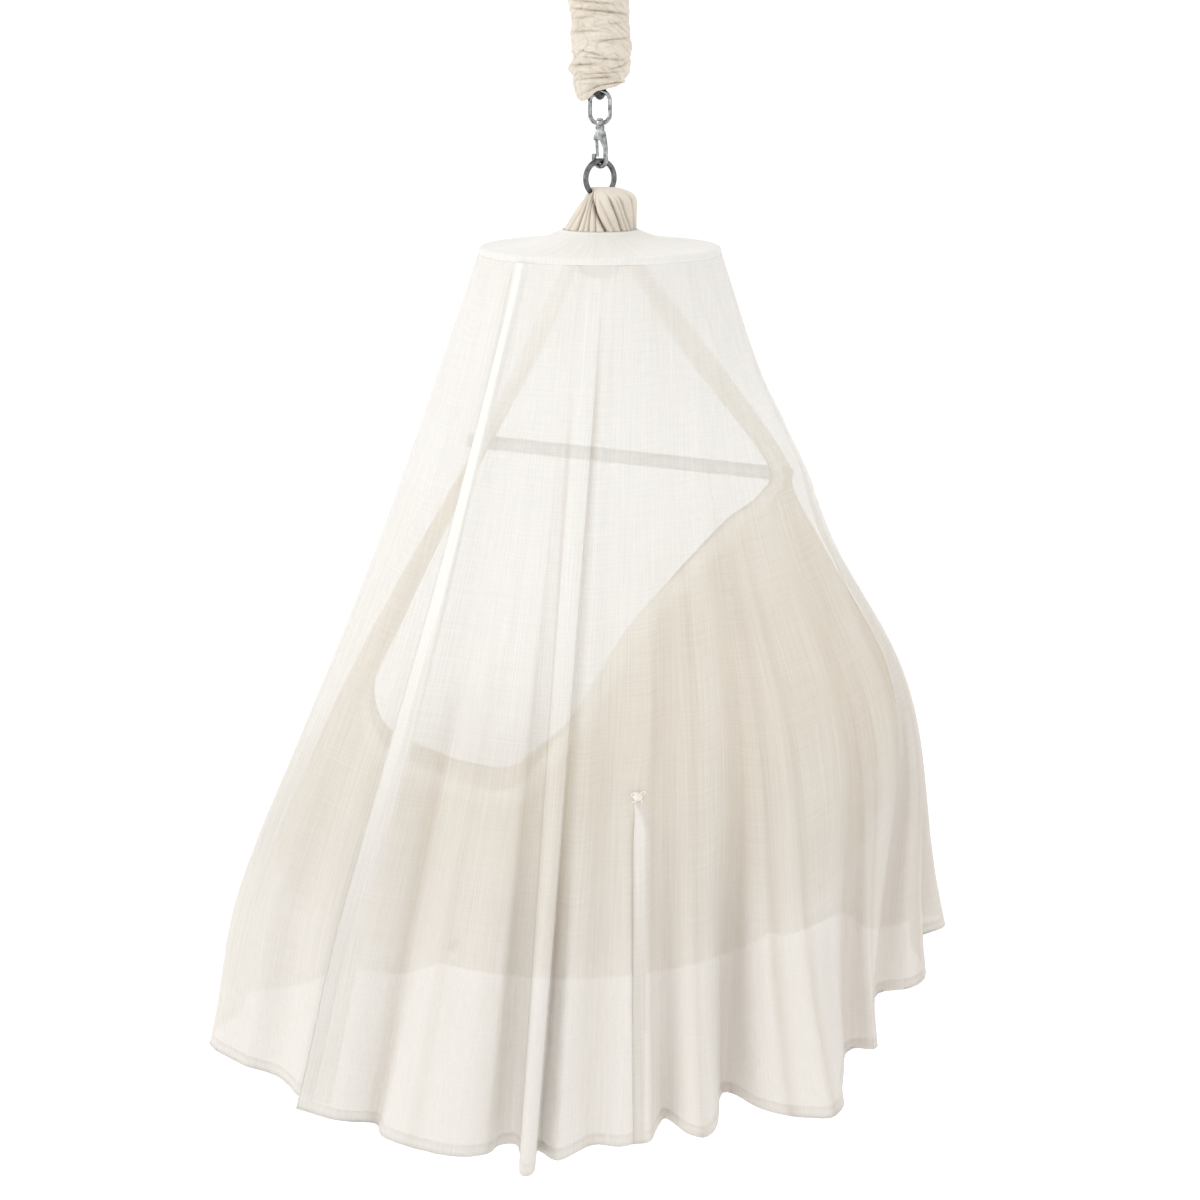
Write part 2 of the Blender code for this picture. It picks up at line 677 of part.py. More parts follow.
def turn_with_hook(item):
    """Carries a piece from the hook's own frame to its place under the swivel."""
    frame = Matrix.Translation((0.0, 0.0, HOOK_TOP)) @ Matrix.Rotation(HOOK_TURN, 4, "Z")
    item.matrix_basis = frame @ item.matrix_basis


def box(name, size, centre, edge):
    bpy.ops.mesh.primitive_cube_add(size=1.0)
    item = bpy.context.object
    item.name = name
    item.data.transform(Matrix.Diagonal((*size, 1.0)))
    item.location = centre
    if edge > 0.0:
        bevel = item.modifiers.new("edges", "BEVEL")
        bevel.width = edge
        bevel.segments = 2
    return item


def gate(material, collection, cutters, parent):
    """The sprung gate, closed against the inside of the nose; its origin is on its pin."""
    reach = 26.3 * MM
    lean = math.atan2(1.5 * MM, reach)
    turn = Matrix.Rotation(-lean, 4, "Y")
    item = box("hook_gate", (GATE_WIDTH, GATE_DEPTH, reach), (0.0, 0.0, 0.0), 0.0)
    item.data.transform(turn @ Matrix.Translation((0.0, 0.0, -reach / 2.0)))
    eye = cylinder("gate_eye", 2.5 * MM, GATE_DEPTH, (0.0, 0.0, 0.0), 16, (math.pi / 2.0, 0.0, 0.0))
    bore = cylinder("gate_bore", 1.2 * MM + RUNNING_GAP, 12.0 * MM, (0.0, 0.0, 0.0), 12, (math.pi / 2.0, 0.0, 0.0))
    boolean(item, as_cutter(eye, cutters, parent), "UNION")
    boolean(item, as_cutter(bore, cutters, parent), "DIFFERENCE")
    for part in (item, eye, bore):
        part.location = GATE_PIVOT
        turn_with_hook(part)
    return place(item, collection, parent, material)


def spring_hook(material, collection, cutters, parent):
    """The dark steel hook inside the sleeve: loop through the swivel's eye, straight shank, hanging eye."""
    loop_centre = EYE_FOOT + EYE_HEIGHT - EYE_WIRE - SHANK_WIRE - GAP + SPRING_LOOP
    points = arc((0.0, 0.0, loop_centre), SPRING_LOOP, 140.0, 385.0, 17, SHANK_TURN)
    aside = Matrix.Rotation(SHANK_TURN, 3, "Z") @ Vector((1.0, 0.0, 0.0))
    points.append(aside * (5.0 * MM) + Vector((0.0, 0.0, loop_centre + 12.5 * MM)))
    points.append(aside * (1.2 * MM) + Vector((0.0, 0.0, loop_centre + 19.0 * MM)))
    eye_centre = HOOP_DEPTH - SHANK_WIRE - HANGING_EYE_RADIUS
    points += [Vector((0.0, 0.0, loop_centre + 27.0 * MM)), Vector((0.0, 0.0, eye_centre - HANGING_EYE_RADIUS))]
    item = curve_tube("spring_hook", points, SHANK_WIRE)
    bpy.ops.mesh.primitive_torus_add(
        major_radius=HANGING_EYE_RADIUS,
        minor_radius=SHANK_WIRE,
        major_segments=20,
        minor_segments=8,
        location=(0.0, 0.0, eye_centre),
        rotation=(math.pi / 2.0, 0.0, 0.0),
    )
    boolean(item, as_cutter(bpy.context.object, cutters, parent), "UNION")
    item.data.shade_smooth()
    return place(item, collection, parent, material)


def sleeve_point(turn, row):
    """A point of the ruched sleeve: row counts along RUCHES from its foot."""
    height = through_points([r.z * MM for r in RUCHES], row)
    radius = through_points([r.radius * MM for r in RUCHES], row)
    shift = through_points([r.shift * MM for r in RUCHES], row)
    slack = smooth_step(row / 2.0) * smooth_step((len(RUCHES) - 1.0 - row) / 2.0)
    radius += 1.2 * MM * slack * math.sin(2.0 * turn + 1.7 * row)
    tilt = 5.0 * MM * math.sin(turn + 0.5 + 0.9 * row) * slack
    droop = -4.5 * MM * math.cos(turn - math.pi) * (1.0 - smooth_step(row / 3.0))
    return Vector((shift + radius * math.cos(turn), radius * math.sin(turn), height + 0.4 * tilt + droop))


def sleeve(material, collection, parent):
    """The ruched cotton tube round the spring hook, gathered in at its top."""
    verts = []
    faces = []
    for row in range(len(RUCHES)):
        for i in range(SLEEVE_SIDES):
            verts.append(sleeve_point(2.0 * math.pi * i / SLEEVE_SIDES, float(row)))
    for row in range(len(RUCHES) - 1):
        for i in range(SLEEVE_SIDES):
            a = row * SLEEVE_SIDES + i
            b = row * SLEEVE_SIDES + (i + 1) % SLEEVE_SIDES
            faces.append((a, b, b + SLEEVE_SIDES, a + SLEEVE_SIDES))
    item = mesh_object("sleeve", verts, faces)
    thicken(item, SLEEVE_CLOTH, -1.0)
    item.data.shade_smooth()
    return place(item, collection, parent, material)


def toggle(material, collection, parent):
    """The small dark end of the tie on the cradle's front wall."""
    s, t = TOGGLE_PLACE
    seat = sling_point(s, t)
    along = sling_point(s + 0.1, t) - seat
    across = sling_point(s, t + 0.02) - seat
    outward = along.cross(across).normalized()
    if outward.y > 0.0:
        outward.negate()
    bpy.ops.mesh.primitive_uv_sphere_add(segments=12, ring_count=8, radius=1.0)
    item = bpy.context.object
    item.name = "tie_end"
    item.data.transform(Matrix.Diagonal((*TOGGLE_SIZE, 1.0)))
    item.location = seat + outward * (SLING_CLOTH / 2.0 + TOGGLE_SIZE.y - TOGGLE_SINK)
    item.rotation_euler = (0.0, -math.radians(42.0), 0.0)
    item.data.shade_smooth()
    return place(item, collection, parent, material)


def build():
    clear_scene()
    parts = new_collection("crib_canopy")
    cutters = new_collection("cutters")
    centre = bpy.data.objects.new("hoop_centre", None)
    parts.objects.link(centre)
    centre.location = (0.0, 0.0, -HOOP_DEPTH)

    voile = new_material("voile", VOILE, 0.9)
    crown_voile = new_material("crown_voile", VOILE, 0.9)
    thread = new_material("thread", VOILE, 0.8)
    hoop_steel = new_material("hoop_steel", STEEL, 0.4, 1.0)
    calico = new_material("calico", CALICO, 0.95)
    bar_wood = new_material("bar_wood", WOOD, 0.6)
    ring_steel = new_material("ring_steel", STEEL, 0.25, 1.0)
    eye_steel = new_material("eye_steel", STEEL, 0.2, 1.0)
    hook_steel = new_material("hook_steel", STEEL, 0.3, 1.0)
    gate_steel = new_material("gate_steel", STEEL, 0.3, 1.0)
    spring_steel = new_material("spring_steel", DARK_STEEL, 0.4, 0.8)
    sleeve_calico = new_material("sleeve_calico", CALICO, 0.95)
    tie_cord = new_material("tie_cord", DARK_STEEL, 0.8)

    crown(crown_voile, parts, centre)
    hoop(hoop_steel, parts, centre)
    skirt(voile, parts, centre)
    knot(thread, parts, centre)
    sling(calico, parts, cutters, centre)
    spreader_bar(bar_wood, parts, centre)
    ring(ring_steel, parts, centre)
    toggle(tie_cord, parts, centre)
    hook_body(hook_steel, parts, cutters, centre)
    gate(gate_steel, parts, cutters, centre)
    swivel_eye(eye_steel, parts, cutters, centre)
    spring_hook(spring_steel, parts, cutters, centre)
    sleeve(sleeve_calico, parts, centre)


build()
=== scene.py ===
import math
from collections import namedtuple

import bmesh
import bpy
from mathutils import Matrix, Vector, noise


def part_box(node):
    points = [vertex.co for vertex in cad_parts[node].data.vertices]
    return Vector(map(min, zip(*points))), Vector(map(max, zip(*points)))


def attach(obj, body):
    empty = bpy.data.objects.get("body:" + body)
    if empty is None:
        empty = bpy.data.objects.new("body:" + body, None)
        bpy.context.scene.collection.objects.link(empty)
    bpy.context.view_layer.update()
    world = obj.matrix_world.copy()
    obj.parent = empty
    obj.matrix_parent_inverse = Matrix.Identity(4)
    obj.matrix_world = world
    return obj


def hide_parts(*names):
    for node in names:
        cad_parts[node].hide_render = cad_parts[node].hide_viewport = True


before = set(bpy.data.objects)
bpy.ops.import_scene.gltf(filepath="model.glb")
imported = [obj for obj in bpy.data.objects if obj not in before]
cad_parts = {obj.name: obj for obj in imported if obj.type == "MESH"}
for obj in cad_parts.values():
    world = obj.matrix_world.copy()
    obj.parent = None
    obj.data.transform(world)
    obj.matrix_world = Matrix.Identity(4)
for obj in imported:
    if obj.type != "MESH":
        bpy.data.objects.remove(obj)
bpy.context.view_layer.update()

mm = 0.001
scene = bpy.context.scene
hoopLow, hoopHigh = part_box("hoop")
hoopLevel = (hoopLow.z + hoopHigh.z) / 2.0
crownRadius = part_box("crown")[1].x
hoopWire = (hoopHigh.z - hoopLow.z) / 2.0
hoopRadius = hoopHigh.x - hoopWire
centre = Vector((0.0, 0.0, hoopLevel))  # sizes below are counted from the centre of the hoop


# Helpers for shapes

def smoothStep(t):
    t = min(max(t, 0.0), 1.0)
    return t * t * (3.0 - 2.0 * t)


def throughPoints(values, t):
    # Catmull-Rom curve through a list of numbers or vectors; t counts from 0 to the last of them
    i = min(int(t), len(values) - 2)
    f = t - i
    before = values[max(i - 1, 0)]
    here = values[i]
    after = values[i + 1]
    beyond = values[min(i + 2, len(values) - 1)]
    return (
        here * (1.0 - 2.5 * f**2 + 1.5 * f**3)
        + after * (0.5 * f + 2.0 * f**2 - 1.5 * f**3)
        + before * (-0.5 * f + f**2 - 0.5 * f**3)
        + beyond * (-0.5 * f**2 + 0.5 * f**3)
    )


def rippled(x, y, seed):
    # smooth, uneven values from -1 to 1
    return noise.noise(Vector((x, y, seed)))


def turns(count):
    # the angles of a full turn in equal steps
    return [2.0 * math.pi * i / count for i in range(count)]


def evenly(across, down):
    # cloth coordinates in metres, for rows and columns that lie evenly
    return lambda r, c: (c * across, r * down)


def gridMesh(name, rows, closed=False, uvs=None, values=None):
    # a sheet of four-sided faces through rows of points; closed joins each row's end to its start
    width = len(rows[0])
    verts = [tuple(p) for row in rows for p in row]
    faces = []
    corners = []
    last = width if closed else width - 1
    for r in range(len(rows) - 1):
        for c in range(last):
            n = (c + 1) % width
            faces.append((r * width + c, (r + 1) * width + c, (r + 1) * width + n, r * width + n))
            corners.append(((r, c), (r + 1, c), (r + 1, c + 1), (r, c + 1)))
    mesh = bpy.data.meshes.new(name)
    mesh.from_pydata(verts, [], faces)
    if uvs:
        layer = mesh.uv_layers.new(name="cloth")
        flat = []
        for face in corners:
            for r, c in face:
                flat += uvs(r, c)
        layer.data.foreach_set("uv", flat)
    for key, table in (values or {}).items():
        attribute = mesh.attributes.new(key, "FLOAT", "POINT")
        attribute.data.foreach_set("value", [v for row in table for v in row])
    mesh.shade_smooth()
    return mesh


def addPiece(name, mesh, material, body, replaced=()):
    piece = bpy.data.objects.new(name, mesh)
    scene.collection.objects.link(piece)
    mesh.materials.clear()
    mesh.materials.append(material)
    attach(piece, body)
    for node in replaced:
        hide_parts(node)
    return piece


def tempObject(name, data):
    item = bpy.data.objects.new(name, data)
    scene.collection.objects.link(item)
    return item


def takenMesh(item):
    # the mesh of an object as its modifiers leave it; the object itself is removed
    bpy.context.view_layer.update()
    mesh = bpy.data.meshes.new_from_object(item.evaluated_get(bpy.context.evaluated_depsgraph_get()))
    bpy.data.objects.remove(item, do_unlink=True)
    return mesh


def meshOf(work, name):
    mesh = bpy.data.meshes.new(name)
    work.to_mesh(mesh)
    work.free()
    return mesh


def cleaned(mesh, fill=True):
    # merges the points that coincide, closes open ends and turns the faces outwards
    work = bmesh.new()
    work.from_mesh(mesh)
    bmesh.ops.remove_doubles(work, verts=work.verts, dist=0.01 * mm)
    if fill:
        bmesh.ops.holes_fill(work, edges=work.edges)
    bmesh.ops.recalc_face_normals(work, faces=work.faces)
    work.to_mesh(mesh)
    work.free()
    mesh.shade_smooth()
    return mesh


def tubeMesh(name, points, radius, closed=False, roundness=5):
    # a round wire along a list of points, as a closed mesh
    curve = bpy.data.curves.new(name, "CURVE")
    curve.dimensions = "3D"
    curve.bevel_depth = radius
    curve.bevel_resolution = roundness
    curve.use_fill_caps = True
    spline = curve.splines.new("POLY")
    spline.points.add(len(points) - 1)
    for target, point in zip(spline.points, points):
        target.co = (*point, 1.0)
    spline.use_cyclic_u = closed
    return cleaned(takenMesh(tempObject(name, curve)), fill=False)


def arcPoints(height, radius, first, last, count, tilt=0.0):
    # points on an arc round a middle on the Z axis, in the XZ plane turned by tilt about Z;
    # lengths in millimetres, angles in degrees from +X towards +Z
    points = []
    for i in range(count):
        angle = math.radians(first + (last - first) * i / (count - 1))
        flat = Vector((radius * mm * math.cos(angle), 0.0, radius * mm * math.sin(angle)))
        points.append((Vector((0.0, 0.0, height * mm)) + Matrix.Rotation(tilt, 3, "Z") @ flat) / mm)
    return points


def smoothPath(points, steps):
    # a finer list of points through the given ones
    count = (len(points) - 1) * steps
    return [throughPoints(points, i / steps) for i in range(count)] + [points[-1]]


# Materials

class Value:
    # a socket whose arithmetic adds Math nodes
    def __init__(self, look, socket):
        self.look = look
        self.socket = socket

    def math(self, operation, *others, clamp=False):
        return self.look.node("ShaderNodeMath", {"operation": operation, "use_clamp": clamp}, others)

    def __add__(self, other):
        return self.math("ADD", self, other)

    def __sub__(self, other):
        return self.math("SUBTRACT", self, other)

    def __mul__(self, other):
        return self.math("MULTIPLY", self, other)

    def clamped(self):
        return self.math("ADD", self, 0.0, clamp=True)


class Look:
    # a material and the one way of adding nodes to it
    def __init__(self, name):
        self.material = bpy.data.materials.new(name)
        self.material.use_nodes = True
        self.tree = self.material.node_tree
        self.shader = self.tree.nodes["Principled BSDF"]

    def node(self, kind, settings=None, values=(), out=0):
        made = self.tree.nodes.new(kind)
        for key, setting in (settings or {}).items():
            setattr(made, key, setting)
        pairs = values.items() if isinstance(values, dict) else enumerate(values)
        for key, value in pairs:
            self.feed(made.inputs[key], value)
        return Value(self, made.outputs[out])

    def feed(self, socket, value):
        if isinstance(value, Value):
            self.tree.links.new(value.socket, socket)
        else:
            socket.default_value = value

    def set(self, **values):
        for name, value in values.items():
            self.feed(self.shader.inputs[name.replace("_", " ")], value)

    def show(self, shader):
        self.feed(self.tree.nodes["Material Output"].inputs["Surface"], shader)

    def mixShader(self, share, first, second):
        return self.node("ShaderNodeMixShader", {}, {0: share, 1: first, 2: second})

    def fabric(self, color, height, distance, strength, rough, sheen):
        # a matt woven surface; returns its bump as well
        normal = self.bump(height, distance, strength)
        self.set(Base_Color=color, Roughness=rough, Normal=normal)
        self.set(Specular_IOR_Level=0.15, Sheen_Weight=sheen)
        return Value(self, self.shader.outputs[0]), normal

    def lit(self, surface, through, color, normal):
        # the surface with a share of light that comes through from behind
        glow = self.node("ShaderNodeBsdfTranslucent", {}, {"Color": color, "Normal": normal})
        return self.mixShader(through, surface, glow)

    def ease(self, value, first, last):
        ends = {"Value": value, "From Min": first, "From Max": last}
        return self.node("ShaderNodeMapRange", {"interpolation_type": "SMOOTHSTEP"}, ends)

    def mixColor(self, share, first, second):
        settings = {"data_type": "RGBA", "blend_type": "MIX"}
        return self.node("ShaderNodeMix", settings, {0: share, 6: first, 7: second}, out=2)

    def attribute(self, name):
        return self.node("ShaderNodeAttribute", {"attribute_name": name}, out=2)

    def cloth(self):
        return self.node("ShaderNodeUVMap", {"uv_map": "cloth"})

    def place(self):
        return self.node("ShaderNodeTexCoord", out=3)

    def stretched(self, coordinates, across, along):
        scale = (across, along, 1.0)
        return self.node("ShaderNodeMapping", {"vector_type": "POINT"}, {0: coordinates, 3: scale})

    def grain(self, coordinates, scale, detail, rough=0.55):
        values = {"Vector": coordinates, "Scale": scale, "Detail": detail, "Roughness": rough}
        return self.node("ShaderNodeTexNoise", {"noise_dimensions": "3D"}, values)

    def bump(self, height, distance, strength):
        return self.node("ShaderNodeBump", {}, {"Height": height, "Strength": strength, "Distance": distance})


voileSizes = {
    "color": (0.80, 0.785, 0.75, 1.0),
    "shade": (0.71, 0.69, 0.65, 1.0),
    "hem": (0.86, 0.845, 0.81, 1.0),
    # the colour of the painted shade in fold valleys and low down on the skirt
    "valley": (0.48, 0.41, 0.34, 1.0),
    "cover": 0.55,
    "highCover": 0.23,
    "lowCover": 0.38,
    "lowFrom": -0.58,
    "lowTo": -0.93,
    "highFrom": -0.3,
    "highTo": 0.0,
    # how much painted shade darkens the skirt low down
    "lowPaintedShade": 0.29,
    "hemCover": 0.93,
    "threadPitch": 0.9 * mm,
    "through": 0.12,
}


def voileLook(name, cover, through, lowCover=0.0):
    # sheer cloth: threads and crinkles that run down it, with a little light coming through, and gathered
    # closer low down, where it is also painted darker as painted shade; "hem" marks where it is doubled and
    # "valley" marks painted shade where a fold keeps the light out
    look = Look(name)
    cloth = look.cloth()
    pitch = voileSizes["threadPitch"]
    doubled = look.attribute("hem")
    down = look.node("ShaderNodeSeparateXYZ", {}, [cloth], out=1)
    low = look.ease(down, voileSizes["lowFrom"], voileSizes["lowTo"])
    high = look.ease(down, voileSizes["highFrom"], voileSizes["highTo"])
    warp = look.grain(look.stretched(cloth, 1.0 / pitch, 14.0), 0.5, 0.0)
    weft = look.grain(look.stretched(cloth, 14.0, 1.0 / pitch), 0.5, 0.0)
    slubs = look.grain(look.stretched(cloth, 300.0, 5.0), 1.0, 1.0, 0.7)
    clouds = look.grain(cloth, 7.0, 1.0)
    crinkle = look.grain(look.stretched(cloth, 120.0, 50.0), 1.0, 2.0, 0.62)
    threads = (warp - 0.5) * 0.5 + (weft - 0.5) * 0.3
    streaks = (slubs - 0.5) * 0.5
    closeness = low * lowCover + high * (voileSizes["highCover"] if lowCover else 0.0) + cover
    sheer = threads * 0.22 + streaks * 0.2 + (clouds - 0.5) * 0.08 + closeness
    alpha = (sheer + doubled * (closeness * -1.0 + voileSizes["hemCover"])).clamped()
    shade = ((clouds - 0.5) * 0.4 + streaks * 0.5 + (crinkle - 0.5) * 0.5 + 0.75).clamped()
    color = look.mixColor(shade, voileSizes["shade"], voileSizes["color"])
    color = look.mixColor(doubled, color, voileSizes["hem"])
    # painted shade: darker along the folds' valleys and towards the bottom of the skirt
    shadow = (look.attribute("valley") + low * (voileSizes["lowPaintedShade"] if lowCover else 0.0)).clamped()
    color = look.mixColor(shadow, color, voileSizes["valley"])
    surface, normal = look.fabric(color, threads * 0.4 + crinkle * 1.6, 0.5 * mm, 0.5, 0.92, 0.1)
    body = look.lit(surface, through, color, normal)
    look.show(look.mixShader(alpha, look.node("ShaderNodeBsdfTransparent"), body))
    return look.material


calicoSizes = {
    "color": (0.71, 0.655, 0.57, 1.0),
    "shade": (0.58, 0.52, 0.435, 1.0),
    # the colour of the painted shade in creases
    "crease": (0.36, 0.27, 0.19, 1.0),
    "threadPitch": 0.8 * mm,
}


def calicoLook(name, color, shade, uv=True, through=0.0, band=None):
    # plain cotton: a lighter color for the "hem" band where one is given, partly painted light, or else
    # painted shade in the creases marked "valley"
    look = Look(name)
    cloth = look.cloth() if uv else look.place()
    pitch = calicoSizes["threadPitch"]
    warp = look.grain(look.stretched(cloth, 1.0 / pitch, 60.0), 0.6, 1.0)
    weft = look.grain(look.stretched(cloth, 60.0, 1.0 / pitch), 0.6, 1.0)
    clouds = look.grain(cloth, 22.0, 2.0)
    specks = look.grain(cloth, 420.0, 2.0)
    threads = (warp - 0.5) + (weft - 0.5)
    share = ((clouds - 0.5) * 1.1 + threads * 0.5 + (specks - 0.5) * 0.4 + 0.6).clamped()
    tint = look.mixColor(share, shade, color)
    if band:
        tint = look.mixColor(look.attribute("hem"), tint, band)
    else:
        # painted shade in the creases
        tint = look.mixColor(look.attribute("valley"), tint, calicoSizes["crease"])
    surface, normal = look.fabric(tint, threads * 0.7 + clouds * 0.5, 0.45 * mm, 0.6, 0.94, 0.15)
    if through > 0.0:
        look.show(look.lit(surface, through, tint, normal))
    return look.material


def steelLook(name, bright, dark, rough, metallic=1.0, wear=0.12):
    look = Look(name)
    place = look.place()
    brushed = look.grain(look.stretched(place, 2400.0, 500.0), 1.0, 3.0)
    patches = look.grain(place, 160.0, 3.0)
    share = ((patches - 0.5) * 2.4 + (brushed - 0.5) * 0.5 + 0.6).clamped()
    look.set(
        Base_Color=look.mixColor(share, dark, bright),
        Metallic=metallic,
        Roughness=((patches - 0.5) * wear * 2.0 + (brushed - 0.5) * wear + rough).clamped(),
        Normal=look.bump(brushed, 0.02 * mm, 0.5),
    )
    return look.material


def woodLook(name):
    look = Look(name)
    place = look.place()
    grainLines = look.grain(look.stretched(place, 12.0, 420.0), 1.0, 4.0)
    share = ((grainLines - 0.5) * 1.8 + 0.5).clamped()
    look.set(
        Base_Color=look.mixColor(share, (0.62, 0.61, 0.59, 1.0), (0.80, 0.79, 0.77, 1.0)),
        Roughness=0.6,
        Normal=look.bump(grainLines, 0.15 * mm, 0.6),
    )
    return look.material


voile = voileLook("voile", voileSizes["cover"], voileSizes["through"], voileSizes["lowCover"])
crownVoile = voileLook("crownVoile", 0.94, 0.12)
thread = calicoLook("thread", (0.82, 0.79, 0.73, 1.0), (0.70, 0.67, 0.60, 1.0), uv=False)
calico = calicoLook("calico", calicoSizes["color"], calicoSizes["shade"])
# the cradle's band colour is lighter: on the rim it is the doubled hem and partly painted light, on the legs
# above the bar it is painted light
cradleCalico = calicoLook(
    "cradleCalico",
    (0.87, 0.80, 0.675, 1.0),
    (0.80, 0.72, 0.585, 1.0),
    through=0.46,
    band=(0.96, 0.92, 0.84, 1.0),
)
ringSteel = steelLook("ringSteel", (0.19, 0.195, 0.20, 1.0), (0.05, 0.052, 0.055, 1.0), 0.2)
steel = steelLook("steel", (0.50, 0.51, 0.51, 1.0), (0.07, 0.072, 0.075, 1.0), 0.12)
satinSteel = steelLook("satinSteel", (0.44, 0.45, 0.45, 1.0), (0.08, 0.082, 0.085, 1.0), 0.18)
darkSteel = steelLook("darkSteel", (0.075, 0.08, 0.085, 1.0), (0.04, 0.045, 0.05, 1.0), 0.4)
whiteWire = steelLook("whiteWire", (0.86, 0.85, 0.82, 1.0), (0.78, 0.77, 0.74, 1.0), 0.35, 0.0)
greyWood = woodLook("greyWood")
darkTearLook = calicoLook("darkTearLook", (0.10, 0.095, 0.09, 1.0), (0.05, 0.05, 0.05, 1.0), uv=False)
print("materials made")


# The skirt

Fold = namedtuple("Fold", "name hoop start x y z")
folds = [Fold(*row) for row in (
    ("slit_upper_edge", -40.5, -40, -387, -219, -1068),
    ("front_left_panel", -34.5, -40, -332, -222, -1082),
    ("left_valley", -28.9, -300, -288, -205, -1096),
    ("left_ridge", -27.0, -300, -272, -244, -1098),
    ("broad_ridge", -20.5, -260, -207, -262, -1110),
    ("broad_ridge_edge", -14.0, -200, -149, -256, -1115),
    ("pleat_recess", -11.0, -120, -128, -226, -1116),
    ("pleat_left_valley", -8.6, -90, -106, -224, -1119),
    ("pleat_left_edge", -7.0, -90, -102, -284, -1123),
    ("pleat_ridge", -3.0, -50, -92, -291, -1125),
    ("pleat_right_edge", 1.2, -50, -82, -282, -1122),
    ("pleat_right_valley", 3.2, -50, -80, -234, -1120),
    ("middle_ridge", 7.0, -60, -52, -263, -1118),
    ("middle_valley", 11.8, -300, -10, -236, -1112),
    ("knot_panel", 16.5, -300, 29, -248, -1107),
    ("second_slit", 19.5, -300, 55, -238, -1103),
    ("slit_ridge", 22.5, -280, 73, -246, -1096),
    ("slit_valley", 26.0, -280, 82, -205, -1088),
    ("right_front_ridge", 33.0, -240, 114, -246, -1091),
    ("right_front_edge", 39.5, -240, 144, -250, -1088),
    ("right_front_valley", 43.0, -260, 160, -168, -1071),
    ("wide_ridge", 48.0, -260, 207, -215, -1071),
    ("wide_ridge_middle", 54.0, -270, 263, -240, -1071),
    ("wide_ridge_edge", 60.0, -270, 306, -236, -1063),
    ("head_valley", 66.0, -280, 322, -120, -1036),
    ("head_ridge", 71.0, -280, 361, -125, -1025),
    ("right_valley", 77.0, -300, 364, -30, -998),
    ("right_ridge", 82.0, -300, 412, -32, -984),
    ("right_ridge_edge", 87.0, -300, 434, -6, -973),
    ("side_valley", 92.0, -320, 424, 74, -962),
    ("side_ridge", 99.0, -60, 470, 96, -948),
    ("side_ridge_edge", 107.0, -60, 462, 146, -952),
    ("back_right_valley", 115.0, -340, 380, 152, -975),
    ("back_right_ridge", 124.0, -300, 352, 236, -985),
    ("back_valley_one", 134.0, -280, 270, 206, -1005),
    ("back_ridge_one", 145.0, -240, 212, 272, -1020),
    ("back_valley_two", 156.0, -260, 132, 222, -1040),
    ("back_ridge_two", 166.0, -200, 82, 270, -1050),
    ("back_ridge_two_edge", 175.0, -200, 34, 276, -1055),
    ("back_valley_three", 185.0, -280, -22, 232, -1060),
    ("back_ridge_three", 195.0, -240, -74, 280, -1068),
    ("back_valley_four", 206.0, -300, -150, 224, -1066),
    ("back_ridge_four", 217.0, -220, -214, 262, -1070),
    ("back_valley_five", 228.0, -300, -292, 192, -1060),
    ("back_left_ridge", 240.0, -240, -368, 204, -1056),
    ("back_left_valley", 252.0, -320, -414, 118, -1044),
    ("left_side_ridge", 263.0, -60, -484, 78, -1040),
    ("left_side_valley", 270.0, -360, -478, 6, -1030),
    ("left_corner", 278.0, -60, -510, -88, -1033),
    ("foot_ridge", 289.0, -280, -466, -128, -1049),
    ("foot_valley", 299.0, -340, -424, -138, -1060),
    ("under_panel", 310.0, -300, -388, -178, -1068),
    ("slit_lower_edge", 323.0, -40, -346, -187, -1078),
)]

# Where the cradle pushes the cloth out: degrees round the hoop, height, push, spread round, above and below
Push = namedtuple("Push", "name hoop level push turn above below")
pushes = [Push(*row) for row in (
    ("bar_end", 92.0, -285, 15, 24.0, 90, 70),
    ("head_end", 94.0, -590, 70, 46.0, 200, 248),
    ("foot_end", 272.0, -820, 38, 45.0, 300, 170),
)]

# Fine creases drawn tight between two places: degrees and height of each end, how high and how wide, in mm
Crease = namedtuple("Crease", "name hoopA levelA hoopB levelB lift width")
creases = [Crease(*row) for row in (
    ("fan_one", 38.0, -12, 88.0, -262, 2.2, 9),
    ("fan_two", 46.0, -12, 89.0, -256, -1.8, 7),
    ("fan_three", 53.0, -12, 90.0, -252, 2.2, 8),
    ("fan_four", 60.0, -12, 91.0, -250, -1.6, 6),
    ("fan_five", 68.0, -12, 92.0, -248, 2.0, 7),
    ("below_bar_one", 84.0, -312, 66.0, -470, 3.0, 12),
    ("below_bar_two", 88.0, -312, 76.0, -520, -2.6, 9),
    ("below_bar_three", 91.0, -312, 86.0, -560, 3.0, 12),
    ("below_bar_four", 95.0, -312, 98.0, -540, -2.4, 9),
    ("left_one", -62.0, -10, -64.0, -520, 1.8, 8),
    ("left_two", -54.0, -10, -56.0, -640, -1.8, 8),
    ("left_three", -70.0, -10, -73.0, -560, 1.6, 7),
    ("left_four", -47.0, -10, -48.0, -460, 1.6, 6),
    ("knot_left", 17.5, -640, 10.0, -560, -2.0, 8),
    ("knot_up", 19.0, -640, 20.0, -500, 2.4, 8),
    ("knot_right", 21.0, -650, 30.0, -600, -2.0, 8),
)]

# Unevenness of the skirt: height in mm, how fast it changes round the skirt and down it, seed, and from
# which share of the height, over how much of it, it grows
ripples = (
    ("long", 4.4, 26.0, 1.3, 7.7, 0.12, 0.6),
    ("fine", 1.8, 70.0, 3.2, 12.3, 0.05, 0.5),
    ("crush", 0.9, 60.0, 46.0, 21.0, 0.35, 0.6),
)

